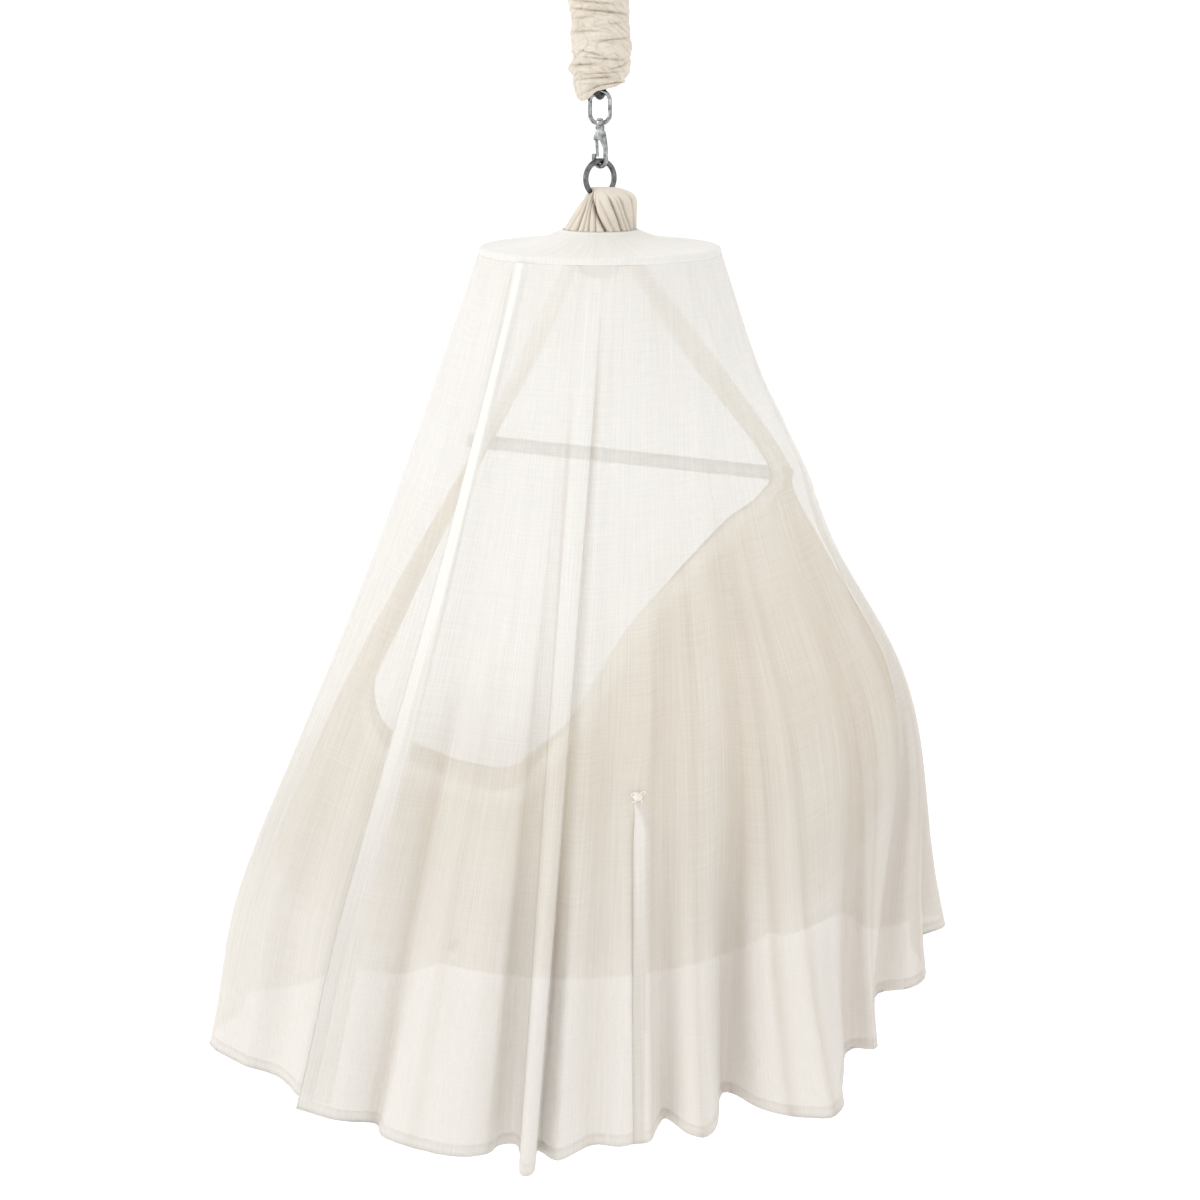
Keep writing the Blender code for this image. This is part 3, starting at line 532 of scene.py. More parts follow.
skirtSizes = {
    "top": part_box("skirt")[1].z - hoopLevel,
    "radius": 152.3 * mm,
    "hemLeft": 0.512,
    "hemRight": 0.475,
    "hemFront": 0.240,
    "hemBack": 0.250,
    "foldEase": 3.2,
    "columnWidth": 8.0 * mm,
    "pleatWidth": 3.5 * mm,
    "pleatLines": (6, 12),
    "rows": 132,
    "slitLap": 14.0 * mm,
    "slitLift": 5.0 * mm,
    "slitFade": 45.0 * mm,
    "knotPull": 13.0 * mm,
    "knotRows": 9.0,
    "knotLevel": -651.0 * mm,
    "hemWidth": 15.0 * mm,
    "bandWidth": 17.0 * mm,
    "turnIn": 0.9 * mm,
    "turnSteps": 3,
    "edgePoints": 8,
    "hemPoints": 5,
    "opening": 0.05,
    "underShare": 0.4,
    "bandTop": 0.62,
    "nearSlit": 14,
    "edgeLift": 2.4 * mm,
    "edgeLiftWidth": 0.24,
    "bandFade": 0.6,
    "foldShade": 0.14,
    "sideShade": 0.07,
    "shadeFade": 170.0 * mm,
    "uvHeight": 1.12,
    "flatHeight": 1.16,
    "taper": 0.66,
    "secondSlit": "second_slit",
}
hemFolds = [Vector((f.x, f.y, f.z)) * mm for f in folds]
hoopFolds = [f.hoop for f in folds]
startFolds = [f.start * mm for f in folds]


class Column:
    # one line of the skirt's cloth, from the hoop to the hem
    def __init__(self, line, along=0.0):
        self.line = line
        self.along = along
        self.hoop = throughPoints(hoopFolds, line)
        self.start = throughPoints(startFolds, line)
        self.hem = throughPoints(hemFolds, line)
        wide = skirtSizes["hemRight"] if self.hem.x > 0.0 else skirtSizes["hemLeft"]
        deep = skirtSizes["hemBack"] if self.hem.y > 0.0 else skirtSizes["hemFront"]
        reach = math.hypot(self.hem.x / wide, self.hem.y / deep)
        self.oval = Vector((self.hem.x / reach, self.hem.y / reach))
        self.fold = Vector((self.hem.x, self.hem.y)) - self.oval
        angle = math.radians(self.hoop)
        self.rim = Vector((math.sin(angle), -math.cos(angle))) * skirtSizes["radius"]

    def pushed(self, level):
        total = 0.0
        for bump in pushes:
            turn = (self.hoop - bump.hoop + 180.0) % 360.0 - 180.0
            above = level - bump.level * mm
            spread = bump.above if above > 0.0 else bump.below
            total += bump.push * mm * math.exp(-((turn / bump.turn) ** 2) - (above / (spread * mm)) ** 2)
        return total

    def creased(self, level, reach):
        total = 0.0
        for crease in creases:
            turn = (self.hoop - crease.hoopA + 180.0) % 360.0 - 180.0
            endX = math.radians(crease.hoopB - crease.hoopA) * reach
            endY = (crease.levelB - crease.levelA) * mm
            x = math.radians(turn) * reach
            y = level - crease.levelA * mm
            share = (x * endX + y * endY) / (endX**2 + endY**2)
            if -0.08 < share < 1.08:
                away = abs(x * endY - y * endX) / math.hypot(endX, endY)
                fade = smoothStep((share + 0.08) / 0.16) * smoothStep((1.08 - share) / 0.3)
                total += crease.lift * mm * fade * math.exp(-((away / (crease.width * mm)) ** 2))
        return total

    def rippled(self, level):
        # gathers under the hoop, then ripples that grow towards the hem
        deep = level / -1.1
        total = 1.1 * mm * rippled(self.hoop * 0.55, level * 2.0, 3.1) * (1.0 - smoothStep(deep / 0.34))
        for name, lift, along, down, seed, start, spread in ripples:
            grown = smoothStep((deep - start) / spread)
            total += lift * mm * rippled(self.along * along, level * down, seed) * grown
        return total

    def point(self, v, detail=True):
        level = skirtSizes["top"] + (self.hem.z - skirtSizes["top"]) * v
        below = max(0.0, (level - self.start) / (self.hem.z - self.start))
        grown = below ** (1.0 - skirtSizes["foldEase"] * self.start)
        middle = self.rim.lerp(self.oval, v)
        out = self.pushed(level)
        if detail:
            out += self.creased(level, middle.length) + self.rippled(level)
        flat = middle + self.fold * grown + middle.normalized() * out
        return Vector((flat.x, flat.y, level))


def skirtColumns():
    columns = []
    along = 0.0
    for i in range(len(folds) - 1):
        gap = (hemFolds[i + 1] - hemFolds[i]).length
        first, last = skirtSizes["pleatLines"]
        width = skirtSizes["pleatWidth"] if first <= i < last else skirtSizes["columnWidth"]
        steps = max(4, round(gap / width))
        columns += [Column(i + k / steps, along + gap * k / steps) for k in range(steps)]
        along += gap
    return columns + [Column(float(len(folds) - 1), along)]


def slitShift(point, v, slit, side, opened):
    # moves the cloth beside the second slit so that its right edge lies over the left one
    edge, ahead, behind = slit
    away = (point - edge.point(v, False)).length
    near = smoothStep(1.0 - away / skirtSizes["slitFade"]) * opened
    along = (ahead.point(v, False) - behind.point(v, False)).normalized()
    outward = Vector((along.y, -along.x, 0.0)).normalized()
    if side > 0:
        return (outward * skirtSizes["slitLift"] - along * skirtSizes["slitLap"]) * near
    return -outward * skirtSizes["slitLift"] * near * skirtSizes["underShare"]


def inwardOf(point):
    away = Vector((-point.x, -point.y, 0.0)).normalized()
    return away * skirtSizes["turnIn"]


def turnedUnder(path, width, drop=0.0):
    # the strip folded back behind an edge: path runs from the edge into the cloth
    inward = inwardOf(path[0]) + Vector((0.0, 0.0, -drop))
    steps = skirtSizes["turnSteps"]
    strip = []
    for k in range(steps + 1):
        want = width * k / steps
        i = 0
        run = 0.0
        while i < len(path) - 2 and run + (path[i + 1] - path[i]).length < want:
            run += (path[i + 1] - path[i]).length
            i += 1
        step = (path[i + 1] - path[i]).length
        share = (want - run) / step if step > 0.0 else 0.0
        strip.append(path[i].lerp(path[i + 1], share) + inward * min(1.0, k + 0.35))
    return strip


def hemStrips(rows):
    # the hem behind the last row, one strip for each column
    nearest = rows[::-1][:skirtSizes["hemPoints"]]
    paths = [[row[c] for row in nearest] for c in range(len(rows[0]))]
    return [turnedUnder(path, skirtSizes["hemWidth"]) for path in paths]


def withHem(rows):
    strips = hemStrips(rows)
    return rows + [[strip[k] for strip in strips] for k in range(skirtSizes["turnSteps"] + 1)]


def edgePath(row, first):
    # the points of a row nearest to one of its ends, from the end inwards
    reach = skirtSizes["edgePoints"]
    return row[:reach] if first else row[::-1][:reach]


def withBand(rows, first, topRow):
    # adds the band folded back behind a slit's edge, at the start or the end of each row
    made = []
    for r, row in enumerate(rows):
        path = edgePath(row, first)
        if topRow is None or r < topRow:
            strip = [path[0]] * (skirtSizes["turnSteps"] + 1)
        else:
            strip = turnedUnder(path, skirtSizes["bandWidth"] * smoothStep((r - topRow + 1.0) / 3.0))
        made.append(strip[::-1] + row if first else row + strip)
    return made


def skirtRows():
    # the columns of the skirt, where its second slit and knot lie, and its points left and right of that slit
    columns = skirtColumns()
    slitLine = [f.name for f in folds].index(skirtSizes["secondSlit"])
    slitColumn = [c.line for c in columns].index(float(slitLine))
    slit = (Column(float(slitLine)), Column(slitLine + 0.3), Column(slitLine - 0.3))
    rowCount = skirtSizes["rows"]
    depth = slit[0].hem.z - skirtSizes["top"]
    knotRow = round((skirtSizes["knotLevel"] - skirtSizes["top"]) / depth * rowCount)
    leftRows = []
    rightRows = []
    for r in range(rowCount + 1):
        v = r / rowCount
        opened = smoothStep((r - knotRow) / (skirtSizes["opening"] * rowCount))
        left = []
        right = []
        for i, column in enumerate(columns):
            point = column.point(v)
            lift = skirtSizes["edgeLift"] * smoothStep(1.0 - column.along / skirtSizes["edgeLiftWidth"])
            point += Vector((point.x, point.y, 0.0)).normalized() * lift
            beside = abs(i - slitColumn) < skirtSizes["nearSlit"]
            pull = math.exp(-(((r - knotRow) / skirtSizes["knotRows"]) ** 2))
            if pull > 0.02 and beside:
                near = smoothStep(1.0 - (point - slit[0].point(v, False)).length / skirtSizes["slitFade"])
                step = (slit[1].point(v, False) - slit[2].point(v, False)).normalized()
                point -= step * skirtSizes["knotPull"] * pull * near * (1.0 - opened)
            parted = beside and r > knotRow
            under = point + slitShift(point, v, slit, -1, opened) if parted else point
            over = point + slitShift(point, v, slit, 1, opened) if parted else point
            if i <= slitColumn:
                left.append(centre + under)
            if i >= slitColumn:
                right.append(centre + over)
        leftRows.append(left)
        rightRows.append(right)
    return columns, slitColumn, knotRow, leftRows, rightRows


# Where a fold keeps the light out: place along the folds, first height, width on either side, depth of tone
Valley = namedtuple("Valley", "line level left right tone")
valleys = [Valley(*row) for row in (
    (2.0, -430, 12, 7, 0.3), (7.3, -110, 5, 3, 0.5), (10.7, -60, 3, 5, 0.6),
    (13.0, -380, 20, 10, 0.12), (14.9, -655, 5, 3, 0.5), (17.0, -300, 10, 30, 0.16),
    (20.0, -260, 10, 40, 0.22), (24.0, -330, 10, 36, 0.22), (26.0, -360, 10, 28, 0.2),
    (29.0, -420, 10, 24, 0.24), (16.0, -340, 4, 8, 0.22), (18.4, -290, 4, 9, 0.26),
    (21.6, -270, 5, 11, 0.26), (22.8, -280, 4, 10, 0.2), (25.2, -300, 5, 11, 0.26),
    (27.4, -330, 4, 10, 0.24), (30.6, -360, 5, 9, 0.26), (3.5, -420, 5, 9, 0.14),
    (5.2, -380, 4, 8, 0.16),
)]


def valleyTone(point, line, v):
    # how dark the cloth is at a place of the skirt, from its distance to each valley's line
    tone = 0.0
    for valley in valleys:
        if abs(line - valley.line) > 2.0:
            continue
        middle = Column(valley.line).point(v, False)
        side = valley.left if line < valley.line else valley.right
        away = (point - centre - middle).length / (side * mm)
        fade = smoothStep((valley.level * mm - middle.z) / skirtSizes["shadeFade"])
        tone = max(tone, valley.tone * fade * math.exp(-(away**2)))
    return tone + skirtSizes["sideShade"] * smoothStep(point.x / 0.3) * smoothStep((v - 0.4) / 0.4)


def fromEdges(row):
    # how far each point of a row lies from the row's two ends
    ahead = [0.0]
    for a, b in zip(row, row[1:]):
        ahead.append(ahead[-1] + (b - a).length)
    return ahead, [ahead[-1] - x for x in ahead]


def bandedHalf(name, rows, columns, firstColumn, bandTops):
    # one side of the skirt between the slits, with its bands and its hem; bandTops holds the row where the
    # band begins at either end, or None for an end without one
    upperTop, lowerTop = bandTops
    both = withHem(withBand(withBand(rows, True, upperTop), False, lowerTop))
    extra = skirtSizes["turnSteps"] + 1
    band = skirtSizes["bandWidth"]

    def clothPlace(r, c):
        i = c - extra
        if i < 0:
            across = columns[firstColumn].along + band * (-i - 1) / skirtSizes["turnSteps"]
        elif i >= len(rows[0]):
            back = band * (i - len(rows[0])) / skirtSizes["turnSteps"]
            across = columns[firstColumn + len(rows[0]) - 1].along - back
        else:
            across = columns[firstColumn + i].along
        return (across, -skirtSizes["uvHeight"] * r / skirtSizes["rows"])

    hems = []
    tones = []
    lastRow = len(rows) - 1
    for r in range(len(both)):
        row = rows[min(r, lastRow)]
        ahead, behind = fromEdges(row)
        v = min(r, lastRow) / lastRow
        wide = band * (skirtSizes["bandTop"] + (1.0 - skirtSizes["bandTop"]) * smoothStep(v * 2.0))
        above = (row[0] - rows[-1][0]).length
        hem = []
        tone = []
        for c in range(len(both[0])):
            i = min(max(c - extra, 0), len(row) - 1)
            away = above - skirtSizes["hemWidth"]
            if upperTop is not None and r >= upperTop:
                begun = smoothStep((r - upperTop + 1.5) / 7.0) if upperTop > 0 else 1.0
                away = min(away, ahead[i] - wide * begun)
            if lowerTop is not None and r >= lowerTop:
                away = min(away, behind[i] - wide)
            shown = 1.0
            # painted shade: the first slit's band loses its lighter, more covering doubled look lower down,
            # where it sinks into a shadowed fold
            if firstColumn == 0 and above >= skirtSizes["hemWidth"] * 1.2:
                shown -= skirtSizes["bandFade"] * smoothStep((v - 0.35) / 0.3)
            hem.append(shown * min(1.0, max(0.0, 0.5 - away / (2.5 * mm))))
            onBand = firstColumn > 0 and r >= upperTop and ahead[i] < wide
            shade = skirtSizes["foldShade"] if onBand else 0.0
            tone.append(valleyTone(row[i], columns[firstColumn + i].line, v) + shade)
        hems.append(hem)
        tones.append(tone)
    return gridMesh(name, both, uvs=clothPlace, values={"hem": hems, "valley": tones})


columns, slitColumn, knotRow, leftRows, rightRows = skirtRows()
leftMesh = bandedHalf("skirtLeft", leftRows, columns, 0, (0, None))
rightMesh = bandedHalf("skirtRight", rightRows, columns, slitColumn, (knotRow + 1, 0))
work = bmesh.new()
work.from_mesh(leftMesh)
work.from_mesh(rightMesh)
bmesh.ops.remove_doubles(work, verts=work.verts, dist=0.02 * mm)
skirtMesh = meshOf(work, "skirtCloth")
skirtMesh.shade_smooth()
skirtCloth = addPiece("skirtCloth", skirtMesh, voile, "canopy", ["skirt"])


# The crown and its hoop

crownSizes = {
    "hole": 45.2 * mm,
    "rise": 26.4 * mm,
    "edge": -3.8 * mm,
    "gap": 0.3 * mm,
    "cloth": 1.5 * mm,
    "steps": 26,
    "rollSteps": 9,
    "sides": 240,
    "pucker": 0.7 * mm,
    "dip": 1.6 * mm,
    "hemRows": 4,
    "rimTone": 0.3,
    "flatShare": 0.76,
}


def crownProfile():
    # radius and height from the hole's turned-in hem out to the hoop and down its outer side
    sizes = crownSizes
    roll = hoopWire + sizes["gap"] + sizes["cloth"]
    profile = []
    for i in range(sizes["steps"] + 1):
        t = i / sizes["steps"]
        radius = sizes["hole"] + (hoopRadius - sizes["hole"]) * t
        profile.append((radius, roll + (sizes["rise"] - roll) * (1.0 - t) ** 2.2))
    for i in range(1, sizes["rollSteps"] + 1):
        turn = math.radians(90.0 - 90.0 * i / sizes["rollSteps"])
        profile.append((hoopRadius + roll * math.cos(turn), roll * math.sin(turn)))
    profile.append((hoopRadius + roll, sizes["edge"] * 0.5))
    profile.append((hoopRadius + roll, sizes["edge"]))
    return profile


def crownPiece():
    sizes = crownSizes
    profile = crownProfile()
    flatTop = sizes["steps"]
    rows = []
    for i, (radius, height) in enumerate(profile):
        row = []
        middle = math.sin(math.pi * min(1.0, i / flatTop)) if i <= flatTop else 0.0
        for angle in turns(sizes["sides"]):
            radial = rippled(math.cos(angle) * 5.0, math.sin(angle) * 5.0, radius * 7.0)
            broad = rippled(math.cos(angle) * 1.6, math.sin(angle) * 1.6, radius * 5.0 + 4.0)
            level = height + middle * (sizes["pucker"] * radial + sizes["dip"] * broad)
            row.append(centre + Vector((radius * math.sin(angle), -radius * math.cos(angle), level)))
        rows.append(row)
    under = Vector((0.0, 0.0, -sizes["cloth"] * 0.6))
    rows = [[p + under for p in rows[i]] for i in (2, 1)] + rows
    around = 2.0 * math.pi * hoopRadius / sizes["sides"]
    hems = []
    for r in range(len(rows)):
        tone = 1.0 if r < sizes["hemRows"] else sizes["rimTone"] * smoothStep((r - flatTop) / 5.0)
        hems.append([tone] * sizes["sides"])
    mesh = gridMesh("crownCloth", rows, closed=True, uvs=evenly(around, 4.0 * mm), values={"hem": hems})
    return addPiece("crownCloth", mesh, crownVoile, "canopy", ["crown"])


crownCloth = crownPiece()
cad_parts["hoop"].data.materials.clear()
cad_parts["hoop"].data.materials.append(whiteWire)
print("crown made")


# The cradle's cloth

Section = namedtuple("Section", "name keelX keelZ rimX rimZ middle half")
sections = [Section(*row) for row in (
    ("neck_right", 24, 8, 12, 4, 0, 20),
    ("right_leg_top", 62, -30, 44, -36, 0, 32),
    ("right_leg", 142, -132, 112, -138, 0, 40),
    ("bar_right", 236, -262, 212, -268, 0, 30),
    ("below_bar_right", 250, -312, 206, -310, 0, 40),
    ("head_shoulder", 300, -400, 158, -347, 0, 76),
    ("head_end", 378, -545, 84, -427, 2, 118),
    ("head_base", 392, -680, 30, -492, 4, 146),
    ("head_floor", 330, -820, -26, -587, 2, 172),
    ("seat", 196, -926, -70, -648, 0, 188),
    ("middle", 10, -968, -116, -695, -2, 200),
    ("leg_floor", -170, -960, -172, -691, -2, 190),
    ("foot_floor", -330, -906, -232, -668, 0, 165),
    ("foot_end", -426, -815, -284, -635, 0, 124),
    ("foot_wall", -392, -690, -298, -572, 4, 88),
    ("foot_rise", -316, -530, -262, -490, 22, 62),
    ("foot_shoulder", -234, -385, -204, -372, 50, 46),
    ("bar_left", -158, -259, -140, -255, 80, 30),
    ("left_leg", -100, -140, -76, -136, 48, 34),
    ("left_leg_foot", -50, -34, -34, -34, 14, 28),
    ("neck_left", -24, 8, -12, 4, 0, 20),
)]
cradleSizes = {
    "rimDraw": 0.77,
    "rows": 300,
    "columns": 96,
    "rimBand": 26.0 * mm,
    "rimDrop": 0.3 * mm,
    "rimPoints": 14,
    # between these places the band colour lies only along the rim; outside them, on the legs, it is painted
    # light all over
    "bandFrom": 3.2,
    "bandTo": 17.2,
    "farDrop": 20.0 * mm,
    "strapHeight": 2.0 * mm,
    "strapWidth": 5.0 * mm,
}

# Unevenness of the cradle's cloth: where, height in mm, how fast it changes across and along, and seed
cradleRipples = (
    ("legs", 3.6, 8.0, 0.3, 5.0),
    ("legs", 1.5, 19.0, 0.7, 15.0),
    ("pouch", 6.0, 2.4, 0.5, 8.0),
    ("pouch", 1.8, 6.0, 1.7, 2.0),
)

# Raised edges on the cradle's front wall, where the tie's strap lies: places along X and Z in millimetres
straps = (
    ((-70, -735), (-89, -757), (-106, -800), (-122, -832), (-150, -856), (-178, -866)),
    ((-247, -790), (-243, -798), (-222, -832), (-194, -866)),
)


sectionLines = [[value * mm for value in line] for line in list(zip(*sections))[1:]]


def cradlePoint(s, t):
    # a place of the cloth: s along the sections, t across it from the near rim, -1, to the far one, 1
    keelX, keelZ, rimX, rimZ, middle, half = [throughPoints(line, s) for line in sectionLines]
    turn = t * math.pi / 2.0
    toRim = 1.0 - math.cos(turn)
    lean = 1.0 - cradleSizes["rimDraw"] * toRim**2
    far = smoothStep(t * 2.0) * smoothStep((s - 3.0) / 2.0) * (1.0 - smoothStep((s - 8.2) / 1.6))
    height = keelZ + (rimZ - keelZ) * toRim - cradleSizes["farDrop"] * far * toRim**2
    return Vector((keelX + (rimX - keelX) * toRim, middle + half * math.sin(turn) * lean, height))


def nearLine(x, z, line):
    # distance from a place to a line of points, all along X and Z
    best = 1.0
    for (ax, az), (bx, bz) in zip(line, line[1:]):
        alongX, alongZ = (bx - ax) * mm, (bz - az) * mm
        fromX, fromZ = x - ax * mm, z - az * mm
        share = min(1.0, max(0.0, (fromX * alongX + fromZ * alongZ) / (alongX**2 + alongZ**2)))
        best = min(best, math.hypot(fromX - alongX * share, fromZ - alongZ * share))
    return best


def cradleFolds(s, t, point):
    # folds run lengthwise where the legs gather the cloth, then fan out and fade over the pouch
    gathered = max(1.0 - smoothStep((s - 3.6) / 4.0), smoothStep((s - 12.5) / 3.0))
    total = 0.0
    for place, lift, across, along, seed in cradleRipples:
        share = gathered if place == "legs" else 1.0 - gathered
        total += lift * mm * share * rippled(t * across, s * along, seed)
    if t < 0.0 and -0.26 < point.x < -0.06 and -0.88 < point.z < -0.72:
        for line in straps:
            away = nearLine(point.x, point.z, line) / cradleSizes["strapWidth"]
            total -= cradleSizes["strapHeight"] * math.exp(-(away**2))
    return total


def rowPlace(r):
    return (len(sections) - 1.0) * r / cradleSizes["rows"]


def cradleGrid():
    columns = cradleSizes["columns"]
    across = [math.sin(math.pi * (c / columns - 0.5)) for c in range(columns + 1)]
    bare = [[cradlePoint(rowPlace(r), t) for t in across] for r in range(cradleSizes["rows"] + 1)]
    rows = []
    for r, row in enumerate(bare):
        s = rowPlace(r)
        made = []
        for c, (point, t) in enumerate(zip(row, across)):
            after = row[min(c + 1, columns)] - row[max(c - 1, 0)]
            down = bare[min(r + 1, len(bare) - 1)][c] - bare[max(r - 1, 0)][c]
            outward = after.cross(down).normalized()
            edge = 1.0 - smoothStep((1.0 - abs(t)) / 0.2)
            made.append(centre + point - outward * cradleFolds(s, t, point) * (1.0 - 0.7 * edge))
        reach = cradleSizes["rimPoints"]
        front = turnedUnder(made[:reach], cradleSizes["rimBand"], cradleSizes["rimDrop"])
        back = turnedUnder(made[::-1][:reach], cradleSizes["rimBand"])
        rows.append(front[::-1] + made + back)
    return rows


def cradlePiece():
    rows = cradleGrid()
    strip = skirtSizes["turnSteps"] + 1
    bands = []
    for r, row in enumerate(rows):
        ahead, behind = fromEdges(row[strip:-strip])
        near = [min(a, b) for a, b in zip(ahead, behind)]
        # the legs above the bar, outside bandFrom and bandTo, take the band colour all over: painted light on
        # cloth that falls in shade
        if not cradleSizes["bandFrom"] <= rowPlace(r) <= cradleSizes["bandTo"]:
            near = [0.0] * len(near)
        near = [0.0] * strip + near + [0.0] * strip
        bands.append([min(1.0, max(0.0, (cradleSizes["rimBand"] - x) / (3.0 * mm))) for x in near])
    mesh = gridMesh("cradleCloth", rows, uvs=evenly(6.0 * mm, 10.0 * mm), values={"hem": bands})
    return addPiece("cradleCloth", mesh, cradleCalico, "canopy", ["sling"])


cradleCloth = cradlePiece()
print("cradle made")


# The gathered neck

neckSizes = {
    "foot": -34.0 * mm,
    "top": 77.0 * mm,
    "radius": 45.6 * mm,
    "crown": 12.5 * mm,
    "shoulder": 58.0 * mm,
    "hole": 26.0 * mm,
    "sides": 420,
    "rows": 110,
}

# Creases between the neck's gathers: turn in degrees with 0 at the front and 90 at the right, measured
# low down, how deep and how wide in millimetres, and how far each leans round over the neck's height
Gather = namedtuple("Gather", "turn depth width lean")
gathers = [Gather(*row) for row in (
    (-78, 5.0, 2.2, 6), (-60, 6.0, 2.0, 10), (-42, 10.0, 2.3, 6), (-29, 4.0, 1.5, 8),
    (-18, 5.0, 1.5, -6), (-6, 4.5, 1.6, -8), (18, 10.0, 2.6, -84), (30, 3.0, 1.8, -70),
    (44, 6.5, 2.0, -58), (54, 3.0, 1.6, -60), (64, 5.0, 2.0, -64), (80, 8.0, 2.6, -38),
    (106, 5.0, 2.4, -6), (124, 8.5, 2.6, 8), (143, 4.5, 2.2, 36), (160, 9.0, 2.6, 18),
    (178, 5.0, 2.2, -16), (196, 9.5, 2.6, -44), (214, 4.5, 2.2, -28), (232, 8.5, 2.4, 6),
    (250, 5.0, 2.2, 14), (268, 8.0, 2.6, 18),
)]


def neckPoint(turn, t):
    # the left side slopes in from the crown's hole, the right side stands up and rounds over
    sizes = neckSizes
    height = sizes["foot"] + (sizes["top"] - sizes["foot"]) * t
    low = sizes["radius"] * (1.0 - 0.55 * max(0.0, 1.0 - t / 0.35) ** 2)
    slope = max(0.0, (height - sizes["hole"]) / (sizes["top"] - sizes["hole"]))
    sloped = low + (sizes["crown"] - low) * slope
    rounding = max(0.0, (height - sizes["shoulder"]) / (sizes["top"] - sizes["shoulder"]))
    upright = sizes["crown"] + (low - sizes["crown"]) * math.sqrt(max(0.0, 1.0 - rounding**2.6))
    rightness = smoothStep(0.5 + 0.62 * math.sin(turn + 0.25))
    radius = sloped + (upright - sloped) * rightness
    crest = max(0.0, (t - 0.86) / 0.14)
    fold = 0.0
    for gather in gathers:
        away = (math.degrees(turn) - gather.turn - gather.lean * (t - 0.45) + 180.0) % 360.0 - 180.0
        reach = math.radians(away) * max(radius, 12.0 * mm) / (gather.width * mm)
        side = 1.5 if reach > 0.0 else 1.0
        fold -= gather.depth * mm * math.exp(-abs(reach * side) ** 1.4) * (1.0 - 0.8 * crest)
    bulge = 1.6 * mm * rippled(turn * 2.6, t * 2.2, 6.0) * (1.0 - crest)
    small = 0.8 * mm * rippled(turn * 9.0 + t * 6.0, t * 3.0, 9.0) * (1.0 - crest)
    around = max(radius + fold + bulge + small, 3.0 * mm)
    # painted shade: the cloth is darker where a gather's crease is deeper
    tone = min(0.9, max(0.0, -fold / mm - 2.0) / 8.0)
    return Vector((around * math.sin(turn), -around * math.cos(turn), height)), tone


def tonedRows(made):
    # rows of (point, tone) taken apart into placed points and tones
    rows = [[centre + point for point, tone in row] for row in made]
    return rows, [[tone for point, tone in row] for row in made]


def neckPiece():
    sizes = neckSizes
    levels = [1.0 - (1.0 - r / sizes["rows"]) ** 1.5 for r in range(sizes["rows"] + 1)]
    rows, tones = tonedRows([[neckPoint(turn, t) for turn in turns(sizes["sides"])] for t in levels])
    top = sum(rows[-1], Vector()) / sizes["sides"]
    rim = rows[-1]
    for share in (0.75, 0.5, 0.25, 0.0):
        rows.append([top.lerp(p, share) + Vector((0.0, 0.0, 0.9 * mm * (1.0 - share))) for p in rim])
        tones.append([0.0] * sizes["sides"])
    place = evenly(0.7 * mm, -1.2 * mm)
    mesh = gridMesh("neckCloth", rows[::-1], closed=True, uvs=place, values={"valley": tones[::-1]})
    return addPiece("neckCloth", cleaned(mesh), calico, "canopy", ["sling"])


neckCloth = neckPiece()
print("neck made")


# The ruched sleeve

Ruche = namedtuple("Ruche", "z radius shift")
ruches = [Ruche(*row) for row in (
    (187, 19, -4), (190, 24, -4), (199, 30, -3), (206, 34, -2), (213, 32, -1), (222, 38, -1),
    (232, 36, 1), (243, 39, 1), (252, 36, 2), (263, 38, 0), (275, 36, 1), (287, 39, 0),
    (299, 36, -1), (310, 37, -1), (320, 30, 0), (327, 14, 0), (328, 4.5, 0),
)]
# Pinched creases across the sleeve: height in mm, middle and half-length in degrees (0 at the front),
# depth and width in mm, and how far the crease climbs over its length
Pinch = namedtuple("Pinch", "z turn reach depth width climb")
pinches = [Pinch(*row) for row in (
    (196, -20, 60, 2.6, 1.8, 5), (202, 40, 45, 3.4, 1.6, 4), (209, -15, 55, 3.2, 1.7, 3),
    (217, 5, 60, 2.6, 1.6, 5), (228, 48, 34, 2.8, 1.5, 6), (227, -42, 46, 3.8, 1.9, 4),
    (236, 10, 60, 3.6, 1.8, -3), (243, -20, 36, 2.8, 1.4, -5), (256, 30, 58, 3.4, 1.4, 1),
    (266, -45, 52, 3.4, 1.5, 0), (274, 24, 46, 1.8, 1.5, 3), (281, -38, 44, 1.8, 1.5, 2),
    (290, 0, 100, 3.8, 1.6, -3), (302, -25, 80, 3.2, 1.7, -2), (311, 30, 70, 3.0, 1.7, 3),
    (200, 150, 70, 3.0, 1.8, 4), (214, 190, 80, 3.2, 1.7, -5), (228, 160, 70, 3.0, 1.8, 5),
    (241, 205, 75, 3.4, 1.7, -3), (255, 170, 80, 3.2, 1.8, 4), (269, 150, 70, 3.2, 1.7, -4),
    (284, 200, 80, 3.0, 1.8, 3), (299, 165, 75, 3.2, 1.7, -2),
)]
sleeveSizes = {
    "sides": 200,
    "stepsPerRuche": 11,
    "cloth": 1.6 * mm,
    "even": 37.6 * mm,
    "hemLift": 8.0 * mm,
    "crush": 1.7 * mm,
    "ripples": ((3.2 * mm, 1.5, 80.0, 4.0), (1.3 * mm, 3.0, 150.0, 11.0)),
}


ruchePlaces = [[value * mm for value in line] for line in zip(*ruches)]


